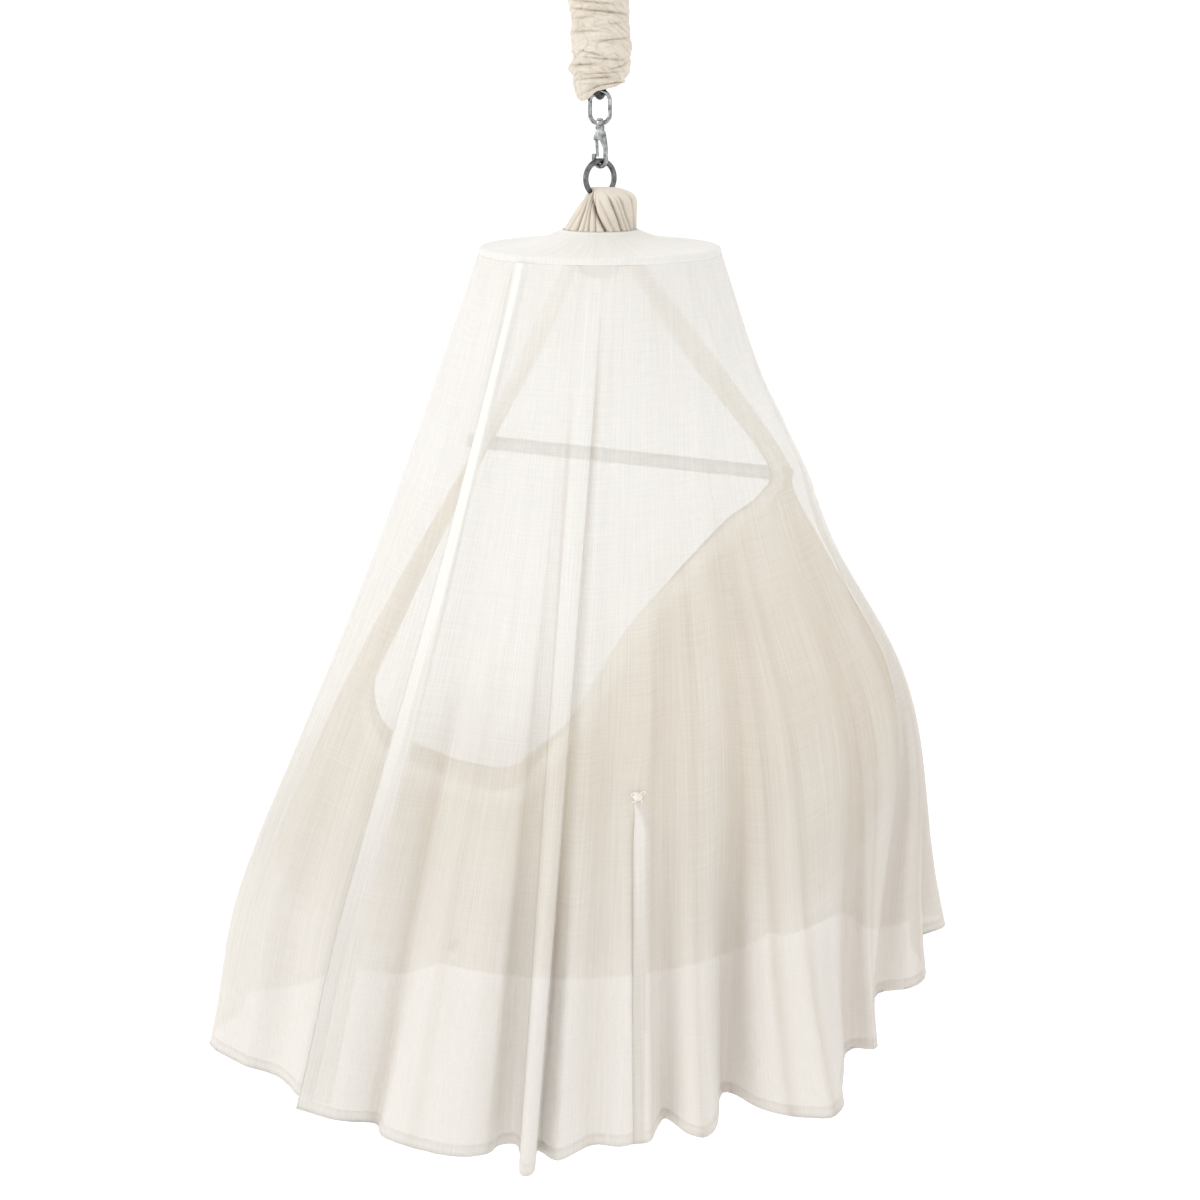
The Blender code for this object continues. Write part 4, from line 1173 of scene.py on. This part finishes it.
def sleevePoint(turn, row):
    # a place of the sleeve, row counted along its ruches from the hem up, and how dark the painted shade in
    # its creases is there
    height, radius, shift = [throughPoints(line, row) for line in ruchePlaces]
    slack = smoothStep(row / 2.0) * smoothStep((len(ruches) - 1.0 - row) / 2.0)
    body = smoothStep((row - 3.0) / 2.5) * smoothStep((13.5 - row) / 2.0)
    radius += (sleeveSizes["even"] - radius) * 0.72 * body
    radius += 1.2 * mm * slack * math.sin(2.0 * turn + 1.7 * row)
    tilt = 5.0 * mm * math.sin(turn + 0.5 + 0.9 * row) * slack
    droop = -4.5 * mm * math.cos(turn - math.pi) * (1.0 - smoothStep(row / 3.0))
    front = (math.degrees(turn) + 90.0 + 180.0) % 360.0 - 180.0
    tone = 0.0
    for pinch in pinches:
        side = (front - pinch.turn + 180.0) % 360.0 - 180.0
        if abs(side) < pinch.reach:
            along = side / pinch.reach
            away = (height - (pinch.z + pinch.climb * along) * mm) / (pinch.width * mm)
            radius -= 1.45 * pinch.depth * mm * (1.0 - along**2) * math.exp(-abs(away * 1.25) ** 1.3) * slack
            # painted shade along the pinched crease
            tone = max(tone, 0.1 * pinch.depth * (1.0 - along**2) * math.exp(-abs(away * 1.9) ** 1.3) * slack)
    ahead = Vector((math.cos(turn), math.sin(turn)))
    for lift, across, up, seed in sleeveSizes["ripples"]:
        radius += lift * rippled(ahead.x * across, ahead.y * across + height * up, seed) * slack
    for k, tall in enumerate((95.0, 170.0)):
        ridge = abs(rippled(ahead.x * 2.2 + height * 12.0, ahead.y * 2.2 + height * tall, 31.0 + 9.0 * k))
        radius -= sleeveSizes["crush"] * max(0.0, 1.0 - 7.0 * ridge) * slack / (k + 1.0)
        # painted shade along the crushed ridge
        tone = max(tone, 0.2 * max(0.0, 1.0 - 12.0 * ridge) * slack)
    lifted = smoothStep(0.5 + 1.2 * math.cos(turn + 0.35)) * (1.0 - smoothStep(row / 3.0))
    height += sleeveSizes["hemLift"] * lifted
    height += 0.4 * tilt + droop
    return Vector((shift + radius * math.cos(turn), radius * math.sin(turn), height)), tone


def sleevePiece():
    steps = sleeveSizes["stepsPerRuche"]
    places = [r / steps for r in range((len(ruches) - 1) * steps + 1)]
    around = turns(sleeveSizes["sides"])
    rows, tones = tonedRows([[sleevePoint(turn, row) for turn in around] for row in places])
    place = evenly(1.18 * mm, -0.9 * mm)
    mesh = gridMesh("sleeveCloth", rows[::-1], closed=True, uvs=place, values={"valley": tones[::-1]})
    piece = addPiece("sleeveCloth", mesh, calico, "hanging", ["sleeve"])
    thickness = piece.modifiers.new("thickness", "SOLIDIFY")
    thickness.thickness = sleeveSizes["cloth"]
    thickness.offset = -1.0
    return piece


sleeveCloth = sleevePiece()
print("sleeve made")


# Helpers for hard pieces

def combined(name, mesh, added=(), cut=()):
    # one mesh from closed meshes joined and cut, all given in place
    base = tempObject(name, mesh)
    tools = []
    for operation, group in (("UNION", added), ("DIFFERENCE", cut)):
        for other in group:
            tool = tempObject(name + "Tool", other)
            step = base.modifiers.new(operation.lower(), "BOOLEAN")
            step.operation = operation
            step.solver = "EXACT"
            step.object = tool
            tools.append(tool)
    made = takenMesh(base)
    for tool in tools:
        bpy.data.objects.remove(tool, do_unlink=True)
    made.shade_smooth()
    made.set_sharp_from_angle(angle=math.radians(38.0))
    return made


def solidMesh(name, rows):
    return cleaned(gridMesh(name, rows, closed=True))


def turnedMesh(name, profile, sides=64):
    # a solid of revolution about Z from its profile, top to bottom, as (radius, height) in millimetres
    rows = []
    for radius, height in profile:
        rows.append([Vector((radius * math.cos(a), radius * math.sin(a), height)) * mm for a in turns(sides)])
    return solidMesh(name, rows)


def blockMesh(name, size, middle, edge):
    # a box with rounded edges, in millimetres
    work = bmesh.new()
    bmesh.ops.create_cube(work, size=1.0)
    bmesh.ops.transform(work, matrix=Matrix.Diagonal((*size, 1.0)), verts=work.verts)
    if edge > 0.0:
        bmesh.ops.bevel(work, geom=work.edges[:], offset=edge, segments=4, profile=0.5, affect="EDGES")
    bmesh.ops.transform(work, matrix=Matrix.Translation(middle), verts=work.verts)
    bmesh.ops.transform(work, matrix=Matrix.Scale(mm, 4), verts=work.verts)
    return meshOf(work, name)


def prismMesh(name, outline, depth, edge):
    # a flat plate from its outline along X and Z, with rounded edges, in millimetres
    work = bmesh.new()
    corners = [work.verts.new((x, -depth / 2.0, z)) for x, z in outline]
    face = work.faces.new(corners)
    grown = bmesh.ops.extrude_face_region(work, geom=[face])
    moving = [item for item in grown["geom"] if isinstance(item, bmesh.types.BMVert)]
    bmesh.ops.translate(work, verts=moving, vec=(0.0, depth, 0.0))
    bmesh.ops.recalc_face_normals(work, faces=work.faces)
    bmesh.ops.bevel(work, geom=work.edges[:], offset=edge, segments=3, profile=0.5, affect="EDGES")
    bmesh.ops.transform(work, matrix=Matrix.Scale(mm, 4), verts=work.verts)
    return meshOf(work, name)


def ringMesh(name, radius, wire, place, turn):
    # a round ring standing upright, turned about Z
    rows = []
    for angle in turns(96):
        row = []
        for side in turns(28):
            reach = radius + wire * math.cos(side)
            row.append(Vector((reach * math.cos(angle), wire * math.sin(side), reach * math.sin(angle))))
        rows.append(row)
    mesh = solidMesh(name, rows + [rows[0]])
    return moved(mesh, Matrix.Translation(place), Matrix.Rotation(turn, 4, "Z"))


def moved(mesh, *steps):
    # carries a mesh through the given moves, the last one first
    whole = Matrix.Identity(4)
    for step in steps:
        whole = whole @ step
    mesh.transform(whole)
    return mesh


# The ring, the snap hook and its swivel, and the spring's hook

hardware = {
    "ringRadius": 21.5 * mm,
    "ringWire": 3.5 * mm,
    "ringHeight": 88.1 * mm,
    "ringTurn": math.radians(35.0),
    "hookTurn": math.radians(-30.0),
    "hookTop": 152.0,
    "hookWire": 3.0 * mm,
    "eyeWidth": 24.5,
    "eyeHeight": 38.4,
    "eyeWire": 2.75,
    "eyeFoot": 156.3,
    "bossHeight": 6.0,
    "stem": 2.2,
    "runningGap": 0.35,
    "gap": 0.3,
    "gatePivot": (-5.0, 0.0, -11.0),
    "gatePin": 1.2,
    "gateDepth": 2.6,
    "gateWidth": 3.4,
    "gateReach": 26.3,
    "gateLean": 1.5,
    "bowlRadius": 8.5,
    "bowlHeight": -40.7,
    "shankWire": 4.0,
    "shankTurn": math.radians(68.0),
    "springLoop": 11.0,
    "hangingEye": 9.0,
}


def upwards(height):
    # a move straight up, in millimetres
    return Matrix.Translation((0.0, 0.0, height * mm))


toCentre = Matrix.Translation(centre)
toPin = Matrix.Translation(Vector(hardware["gatePivot"]) * mm)
hookMove = toCentre @ upwards(hardware["hookTop"]) @ Matrix.Rotation(hardware["hookTurn"], 4, "Z")
acrossY = Matrix.Rotation(math.pi / 2.0, 4, "X")


def millimetres(points):
    return [Vector(p) * mm for p in points]


def mirrored(profile):
    # the upper half of a turned profile, with its lower half after it
    return profile + [(radius, -height) for radius, height in profile[::-1]]


def ringPiece():
    place = centre + Vector((0.0, 0.0, hardware["ringHeight"]))
    turn = hardware["ringTurn"]
    mesh = ringMesh("cradleRing", hardware["ringRadius"], hardware["ringWire"], place, turn)
    return addPiece("cradleRing", mesh, ringSteel, "canopy", ["ring"])


def eyePiece():
    # the bail: a round wire whose foot is flat, with a turned boss for the hook's stem
    half = hardware["eyeWidth"] / 2.0
    foot = hardware["eyeFoot"]
    top = foot + hardware["eyeHeight"] - half
    path = arcPoints(top, half, 180.0, 0.0, 33)
    corner = [(half, 0.0, foot + 9.0), (half - 0.6, 0.0, foot + 6.2), (half - 2.0, 0.0, foot + 4.0)]
    corner += [(half - 4.0, 0.0, foot + 1.4), (half - 6.5, 0.0, foot)]
    path += [Vector(p) for p in corner] + [Vector((-x, y, z)) for x, y, z in corner[::-1]]
    wire = tubeMesh("eyeWire", millimetres(path), hardware["eyeWire"] * mm, closed=True, roundness=8)
    half = hardware["bossHeight"] / 2.0
    boss = mirrored([(0.0, half), (4.6, half), (5.2, half - 0.3), (5.5, half - 0.9)])
    bossMesh = moved(turnedMesh("eyeBoss", boss), upwards(foot))
    bore = hardware["stem"] + hardware["runningGap"]
    holeMesh = moved(turnedMesh("eyeHole", mirrored([(0.0, 10.0), (bore, 10.0)])), upwards(foot))
    mesh = moved(combined("swivelEye", wire, [bossMesh], [holeMesh]), toCentre)
    return addPiece("swivelEye", mesh, steel, "hanging", ["swivel_eye"])


def hookPiece():
    # rivet head and stem, forked shoulder with the gate's pin, spine, bowl and nose
    bossTop = hardware["eyeFoot"] + hardware["bossHeight"] / 2.0 - hardware["hookTop"]
    head = bossTop + hardware["gap"]
    neck = bossTop - hardware["bossHeight"] - hardware["gap"]
    stem = hardware["stem"]
    profile = [(0.0, head + 2.2), (2.4, head + 2.1), (3.6, head + 1.7), (4.2, head + 1.0), (4.3, head + 0.1)]
    profile += [(4.1, head), (stem, head), (stem, neck), (5.2, neck), (5.7, neck - 0.4), (5.8, neck - 1.0)]
    profile += [(5.8, -4.0), (0.0, -4.0)]
    bowl = arcPoints(hardware["bowlHeight"], hardware["bowlRadius"], 18, -180, 40)
    spine = [Vector((4.5, 0.0, -7.0)), Vector((6.4, 0.0, -16.0)), Vector((7.9, 0.0, -27.0))]
    path = smoothPath([*spine, bowl[0]], 6)[:-1] + bowl + [Vector((-8.5, 0.0, -33.8))]
    body = tubeMesh("hookBody", millimetres(path), hardware["hookWire"], roundness=8)
    outline = [(-3.4, -2.6), (3.8, -2.6), (7.4, -10.0), (9.6, -22.0), (9.4, -27.0), (5.8, -27.0)]
    outline += [(3.4, -22.0), (0.4, -15.8), (-2.0, -17.5), (-8.0, -17.5), (-7.8, -12.5)]
    shoulder = prismMesh("hookShoulder", outline, 6.4, 1.0)
    slotDepth = hardware["gateDepth"] + 2.0 * hardware["runningGap"]
    slot = blockMesh("gateSlot", (9.2, slotDepth, 14.0), (-5.2, 0.0, -14.2), 0.0)
    pinProfile = mirrored([(0.0, 3.5), (1.5, 3.4), (1.9, 3.2), (hardware["gatePin"], 3.1)])
    pin = moved(turnedMesh("gatePin", pinProfile, 32), toPin @ acrossY)
    whole = combined("hookWhole", body, [shoulder, turnedMesh("hookStem", profile)], [slot])
    mesh = combined("snapHook", whole, [pin])
    return addPiece("snapHook", moved(mesh, hookMove), satinSteel, "canopy", ["hook_body"])


def gatePiece():
    # closed against the inside of the hook's nose, with its eye round the pin
    reach = hardware["gateReach"]
    lean = math.atan2(hardware["gateLean"], reach)
    size = (hardware["gateWidth"], hardware["gateDepth"], reach)
    blade = moved(blockMesh("gateBlade", size, (0.0, 0.0, -reach / 2.0), 0.5), Matrix.Rotation(-lean, 4, "Y"))
    half = hardware["gateDepth"] / 2.0
    knuckle = mirrored([(0.0, half), (2.2, half), (2.5, half - 0.3)])
    bore = hardware["gatePin"] + hardware["runningGap"]
    eye = moved(turnedMesh("gateEye", knuckle, 40), acrossY)
    hole = moved(turnedMesh("gateBore", mirrored([(0.0, 6.0), (bore, 6.0)]), 32), acrossY)
    mesh = moved(combined("hookGate", blade, [eye], [hole]), hookMove, toPin)
    return addPiece("hookGate", mesh, satinSteel, "gate", ["hook_gate"])


def springPiece():
    # a dark steel hook: loop through the swivel's eye, straight shank, hanging eye
    wire = hardware["shankWire"]
    eyeRadius = hardware["hangingEye"]
    eyeTop = hardware["eyeFoot"] + hardware["eyeHeight"] - hardware["eyeWire"]
    loop = eyeTop - wire - hardware["gap"] + hardware["springLoop"]
    turn = hardware["shankTurn"]
    path = arcPoints(loop, hardware["springLoop"], 140.0, 385.0, 49, turn)
    aside = Matrix.Rotation(turn, 3, "Z") @ Vector((1.0, 0.0, 0.0))
    eyeMiddle = -hoopLevel / mm - wire - eyeRadius
    bend = [path[-1]]
    for out, up in ((5.0, 12.5), (1.2, 19.0), (0.0, 27.0)):
        bend.append(aside * out + Vector((0.0, 0.0, loop + up)))
    bend.append(Vector((0.0, 0.0, eyeMiddle - eyeRadius)))
    shank = tubeMesh("springShank", millimetres(path[:-1] + smoothPath(bend, 6)), wire * mm, roundness=8)
    top = ringMesh("hangingEye", eyeRadius * mm, wire * mm, Vector((0.0, 0.0, eyeMiddle * mm)), 0.0)
    mesh = moved(combined("springHook", shank, [top]), toCentre)
    return addPiece("springHook", mesh, darkSteel, "hanging", ["spring_hook"])


ringPiece()
eyePiece()
hookPiece()
gatePiece()
springPiece()
print("steel made")


# The bar, the small dark tear-shaped piece and the knot of the second slit

smallSizes = {
    "barLeft": (-0.174, 0.084, -0.2585),
    "barRight": (0.2480, 0.0, -0.2885),
    "barRadius": 9.0,
    "darkTearHalf": (11.0, 4.3, 4.8),
    "darkTearTurn": math.radians(-42.0),
    "knotHalf": (7.4, 2.7, 5.6),
    "knotFolds": 9,
    "knotTurn": 0.5,
    "knotThread": 0.6 * mm,
}


def barPiece():
    first, last = Vector(smallSizes["barLeft"]), Vector(smallSizes["barRight"])
    radius = smallSizes["barRadius"]
    half = (last - first).length / mm / 2.0
    end = [(0.0, half), (radius - 2.0, half), (radius - 0.7, half - 0.6), (radius, half - 2.0)]
    length = [(radius, half * (1.0 - i / 10.0)) for i in range(1, 20)]
    profile = end + length + [(r, -z) for r, z in end[::-1]]
    mesh = turnedMesh("spreaderBar", profile, 48)
    turn = (last - first).to_track_quat("Z", "Y").to_matrix().to_4x4()
    moved(mesh, Matrix.Translation(centre + (first + last) / 2.0), turn)
    return addPiece("spreaderBar", mesh, greyWood, "canopy", ["spreader_bar"])


def darkTearPiece():
    # a small dark tear-shaped piece: rounded below, drawn out to a point above
    low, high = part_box("tie_end")
    long, deep, tall = smallSizes["darkTearHalf"]
    rows = []
    for i in range(25):
        angle = math.pi * i / 24
        along = -math.cos(angle)
        row = []
        for side in turns(36):
            ribbing = 1.0 + 0.05 * math.sin(6.0 * side + 9.0 * along)
            wide = math.sin(angle) * (1.0 - 0.35 * along) * ribbing
            place = (along * long, wide * deep * math.cos(side), wide * tall * math.sin(side))
            row.append(Vector(place) * mm)
        rows.append(row)
    mesh = solidMesh("darkTearShape", rows)
    moved(mesh, Matrix.Translation((low + high) / 2.0), Matrix.Rotation(smallSizes["darkTearTurn"], 4, "Y"))
    return addPiece("darkTearShape", mesh, darkTearLook, "canopy", ["tie_end"])


def knotPiece():
    # the thread drawn tight round a pinch of cloth: a puckered ball with two loops and three cut ends
    low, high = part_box("slit_knot")
    long, deep, tall = smallSizes["knotHalf"]
    rows = []
    for i in range(29):
        angle = math.pi * i / 28
        around = math.sin(angle)
        row = []
        for side in turns(80):
            pucker = 0.82 + 0.2 * math.sin(smallSizes["knotFolds"] * side + 2.0 * angle) * around**2
            pucker += 0.12 * rippled(math.cos(side) * 2.0, math.sin(side) * 2.0, 3.0 + angle)
            ball = (math.cos(angle) * long, around * math.sin(side) * deep, around * math.cos(side) * tall)
            row.append(Vector(ball) * pucker * mm)
        rows.append(row)
    mesh = moved(solidMesh("slitKnot", rows), Matrix.Rotation(smallSizes["knotTurn"], 4, "Y"))
    loops = (
        ((-6.0, 0.0, -1.0), (-8.0, -2.0, 3.0), (-4.0, -3.0, 6.0), (0.0, -2.6, 3.0), (2.0, -1.0, -1.0)),
        ((4.0, 0.0, 0.0), (8.0, -1.6, 3.6), (9.0, -2.0, 7.0), (5.0, -2.6, 6.4), (1.0, -2.2, 1.0)),
        ((0.0, -2.0, -2.0), (-3.0, -3.0, -5.0), (-7.0, -2.0, -7.4)),
        ((1.0, -2.0, 1.0), (4.6, -3.0, -3.4), (5.4, -2.6, -7.6)),
    )
    paths = [smoothPath(millimetres(loop), 8) for loop in loops]
    strands = [tubeMesh("knotThread", path, smallSizes["knotThread"], roundness=3) for path in paths]
    whole = moved(combined("slitKnot", mesh, strands), Matrix.Translation((low + high) / 2.0))
    return addPiece("slitKnot", whole, thread, "canopy", ["slit_knot"])


barPiece()
darkTearPiece()
knotPiece()
print("bar, tie and knot made")


# Stitches

stitchSizes = {
    "spacing": 3.4 * mm,
    "length": 2.3 * mm,
    "thread": 0.42 * mm,
    "proud": 0.25 * mm,
    "crownProud": 0.1 * mm,
    "crownDrop": 1.2 * mm,
    "seed": 7,
}


class StitchNodes:
    # a Geometry Nodes tree that lays thread stitches along a line, each a little longer or shorter
    def __init__(self):
        self.tree = bpy.data.node_groups.new("stitches", "GeometryNodeTree")
        self.sockets = {}
        self.addSocket("Line", "INPUT", "NodeSocketGeometry")
        for name in ("Spacing", "Length", "Thread"):
            self.addSocket(name, "INPUT", "NodeSocketFloat")
        self.addSocket("Seed", "INPUT", "NodeSocketInt")
        self.addSocket("Look", "INPUT", "NodeSocketMaterial")
        self.addSocket("Stitches", "OUTPUT", "NodeSocketGeometry")
        given = self.add("NodeGroupInput")
        curve = self.add("GeometryNodeMeshToCurve", {"Mesh": given.outputs["Line"]})
        spaced = {"Curve": curve.outputs[0], "Length": given.outputs["Spacing"]}
        points = self.add("GeometryNodeCurveToPoints", spaced, mode="LENGTH")
        stitch = self.add("GeometryNodeMeshUVSphere")
        stitch.inputs["Segments"].default_value = 6
        stitch.inputs["Rings"].default_value = 4
        stitch.inputs["Radius"].default_value = 0.5
        across = given.outputs["Thread"]
        size = self.add("ShaderNodeCombineXYZ", {"X": across, "Y": across, "Z": given.outputs["Length"]})
        uneven = self.add("FunctionNodeRandomValue", {"Seed": given.outputs["Seed"]}, data_type="FLOAT")
        uneven.inputs[2].default_value = 0.85
        uneven.inputs[3].default_value = 1.15
        sized = {0: size.outputs[0], 3: uneven.outputs[1]}
        scale = self.add("ShaderNodeVectorMath", sized, operation="SCALE")
        placed = {"Points": points.outputs["Points"], "Rotation": points.outputs["Rotation"]}
        placed.update({"Instance": stitch.outputs[0], "Scale": scale.outputs[0]})
        laid = self.add("GeometryNodeInstanceOnPoints", placed)
        real = self.add("GeometryNodeRealizeInstances", {0: laid.outputs[0]})
        both = {"Geometry": real.outputs[0], "Material": given.outputs["Look"]}
        dressed = self.add("GeometryNodeSetMaterial", both)
        self.add("NodeGroupOutput", {0: dressed.outputs[0]})

    def addSocket(self, name, direction, kind):
        socket = self.tree.interface.new_socket(name, in_out=direction, socket_type=kind)
        self.sockets[name] = socket.identifier

    def add(self, kind, links=None, **settings):
        node = self.tree.nodes.new(kind)
        for key, setting in settings.items():
            setattr(node, key, setting)
        for key, socket in (links or {}).items():
            self.tree.links.new(socket, node.inputs[key])
        return node

    def along(self, name, lines, material):
        # lines are lists of points; returns the stitches as one plain mesh
        verts = [tuple(p) for line in lines for p in line]
        edges = []
        first = 0
        for line in lines:
            edges += [(first + i, first + i + 1) for i in range(len(line) - 1)]
            first += len(line)
        guide = bpy.data.meshes.new(name + "Line")
        guide.from_pydata(verts, edges, [])
        item = tempObject(name, guide)
        step = item.modifiers.new("stitches", "NODES")
        step.node_group = self.tree
        for name in ("Spacing", "Length", "Thread", "Seed"):
            step[self.sockets[name]] = stitchSizes[name.lower()]
        step[self.sockets["Look"]] = material
        made = takenMesh(item)
        made.shade_smooth()
        return made


def seamLine(strips):
    # the inner edge of turned strips, lifted back out through the cloth to where its stitches show
    line = []
    for strip in strips:
        inward = inwardOf(strip[-1])
        line.append(strip[-1] - inward - inward.normalized() * stitchSizes["proud"])
    return line


def skirtSeams():
    # along the bands of both slits, then along the hem
    lines = []
    for rows, first, top in ((leftRows, True, 0), (rightRows, True, knotRow + 1), (rightRows, False, 0)):
        paths = [edgePath(row, first) for row in rows[top:]]
        lines.append(seamLine([turnedUnder(path, skirtSizes["bandWidth"]) for path in paths]))
    return lines + [seamLine(hemStrips(rows)) for rows in (leftRows, rightRows)]


def crownSeam():
    radius = crownRadius + stitchSizes["crownProud"]
    angles = turns(crownSizes["sides"]) + [2.0 * math.pi]
    down = Vector((0.0, 0.0, -stitchSizes["crownDrop"]))
    return [centre + Vector((math.sin(a), -math.cos(a), 0.0)) * radius + down for a in angles]


stitchNodes = StitchNodes()
stitchFaces = 0
for name, lines in (("skirtStitches", skirtSeams()), ("crownStitches", [crownSeam()])):
    stitches = addPiece(name, stitchNodes.along(name, lines, thread), thread, "canopy")
    stitchFaces += len(stitches.data.polygons)
print("stitches made", stitchFaces, "faces")


# Floor, lights and camera

studio = {
    "floorLevel": -2.05,
    "cameraPlace": (0.0, -3.0, 0.305),
    "cameraTilt": 14.2,
    "lens": 71.28,
    "brightSide": (1.03, 1.03, 1.03, 1.0),
    "darkSide": (0.64, 0.64, 0.645, 1.0),
    "toDarkSide": (0.8, 0.05, 0.3),
    "worldStrength": 1.5,
    "lightTarget": (0.0, 0.0, -0.9),
    "lights": (
        ("key", (-4.0, -1.8, 0.7), 1.8, 20.0),
        ("fill", (2.8, -2.4, 0.2), 2.4, 6.0),
        ("back", (0.6, 3.2, 1.4), 2.6, 10.0),
    ),
}


def addLight(name, place, target, size, power):
    data = bpy.data.lights.new(name, "AREA")
    data.shape = "SQUARE"
    data.size = size
    data.energy = power
    lamp = bpy.data.objects.new(name, data)
    scene.collection.objects.link(lamp)
    lamp.location = place
    lamp.rotation_euler = (Vector(target) - Vector(place)).to_track_quat("-Z", "Y").to_euler()


def makeStudio():
    floorLook = Look("paleFloor")
    soft = floorLook.grain(floorLook.place(), 1.3, 3.0)
    pale = floorLook.mixColor(soft, (0.975, 0.975, 0.975, 1.0), (0.99, 0.99, 0.99, 1.0))
    floorLook.set(Base_Color=pale, Roughness=0.85)
    bpy.ops.mesh.primitive_plane_add(size=80.0, location=(0.0, 0.0, studio["floorLevel"]))
    floor = bpy.context.object
    floor.name = "floor"
    floor.data.materials.append(floorLook.material)
    world = bpy.data.worlds.new("studio")
    world.use_nodes = True
    tree = world.node_tree
    sky = tree.nodes["Background"]
    sky.inputs[1].default_value = studio["worldStrength"]
    ramp = tree.nodes.new("ShaderNodeMix")
    ramp.data_type = "RGBA"
    ramp.inputs[6].default_value = studio["brightSide"]
    ramp.inputs[7].default_value = studio["darkSide"]
    side = tree.nodes.new("ShaderNodeVectorMath")
    side.operation = "DOT_PRODUCT"
    side.inputs[1].default_value = studio["toDarkSide"]
    share = tree.nodes.new("ShaderNodeMath")
    share.operation = "MULTIPLY_ADD"
    share.inputs[1].default_value = 0.5
    share.inputs[2].default_value = 0.5
    place = tree.nodes.new("ShaderNodeTexCoord")
    tree.links.new(place.outputs["Generated"], side.inputs[0])
    tree.links.new(side.outputs["Value"], share.inputs[0])
    tree.links.new(share.outputs[0], ramp.inputs[0])
    tree.links.new(ramp.outputs[2], sky.inputs[0])
    scene.world = world
    for name, place, size, power in studio["lights"]:
        addLight(name, place, studio["lightTarget"], size, power)
    data = bpy.data.cameras.new("camera")
    data.lens = studio["lens"]
    data.sensor_width = 36.0
    camera = bpy.data.objects.new("camera", data)
    scene.collection.objects.link(camera)
    camera.location = Vector(studio["cameraPlace"]) + centre
    camera.rotation_euler = (math.radians(90.0 - studio["cameraTilt"]), 0.0, 0.0)
    scene.camera = camera
    scene.view_settings.view_transform = "Standard"
    print("studio made")


makeStudio()
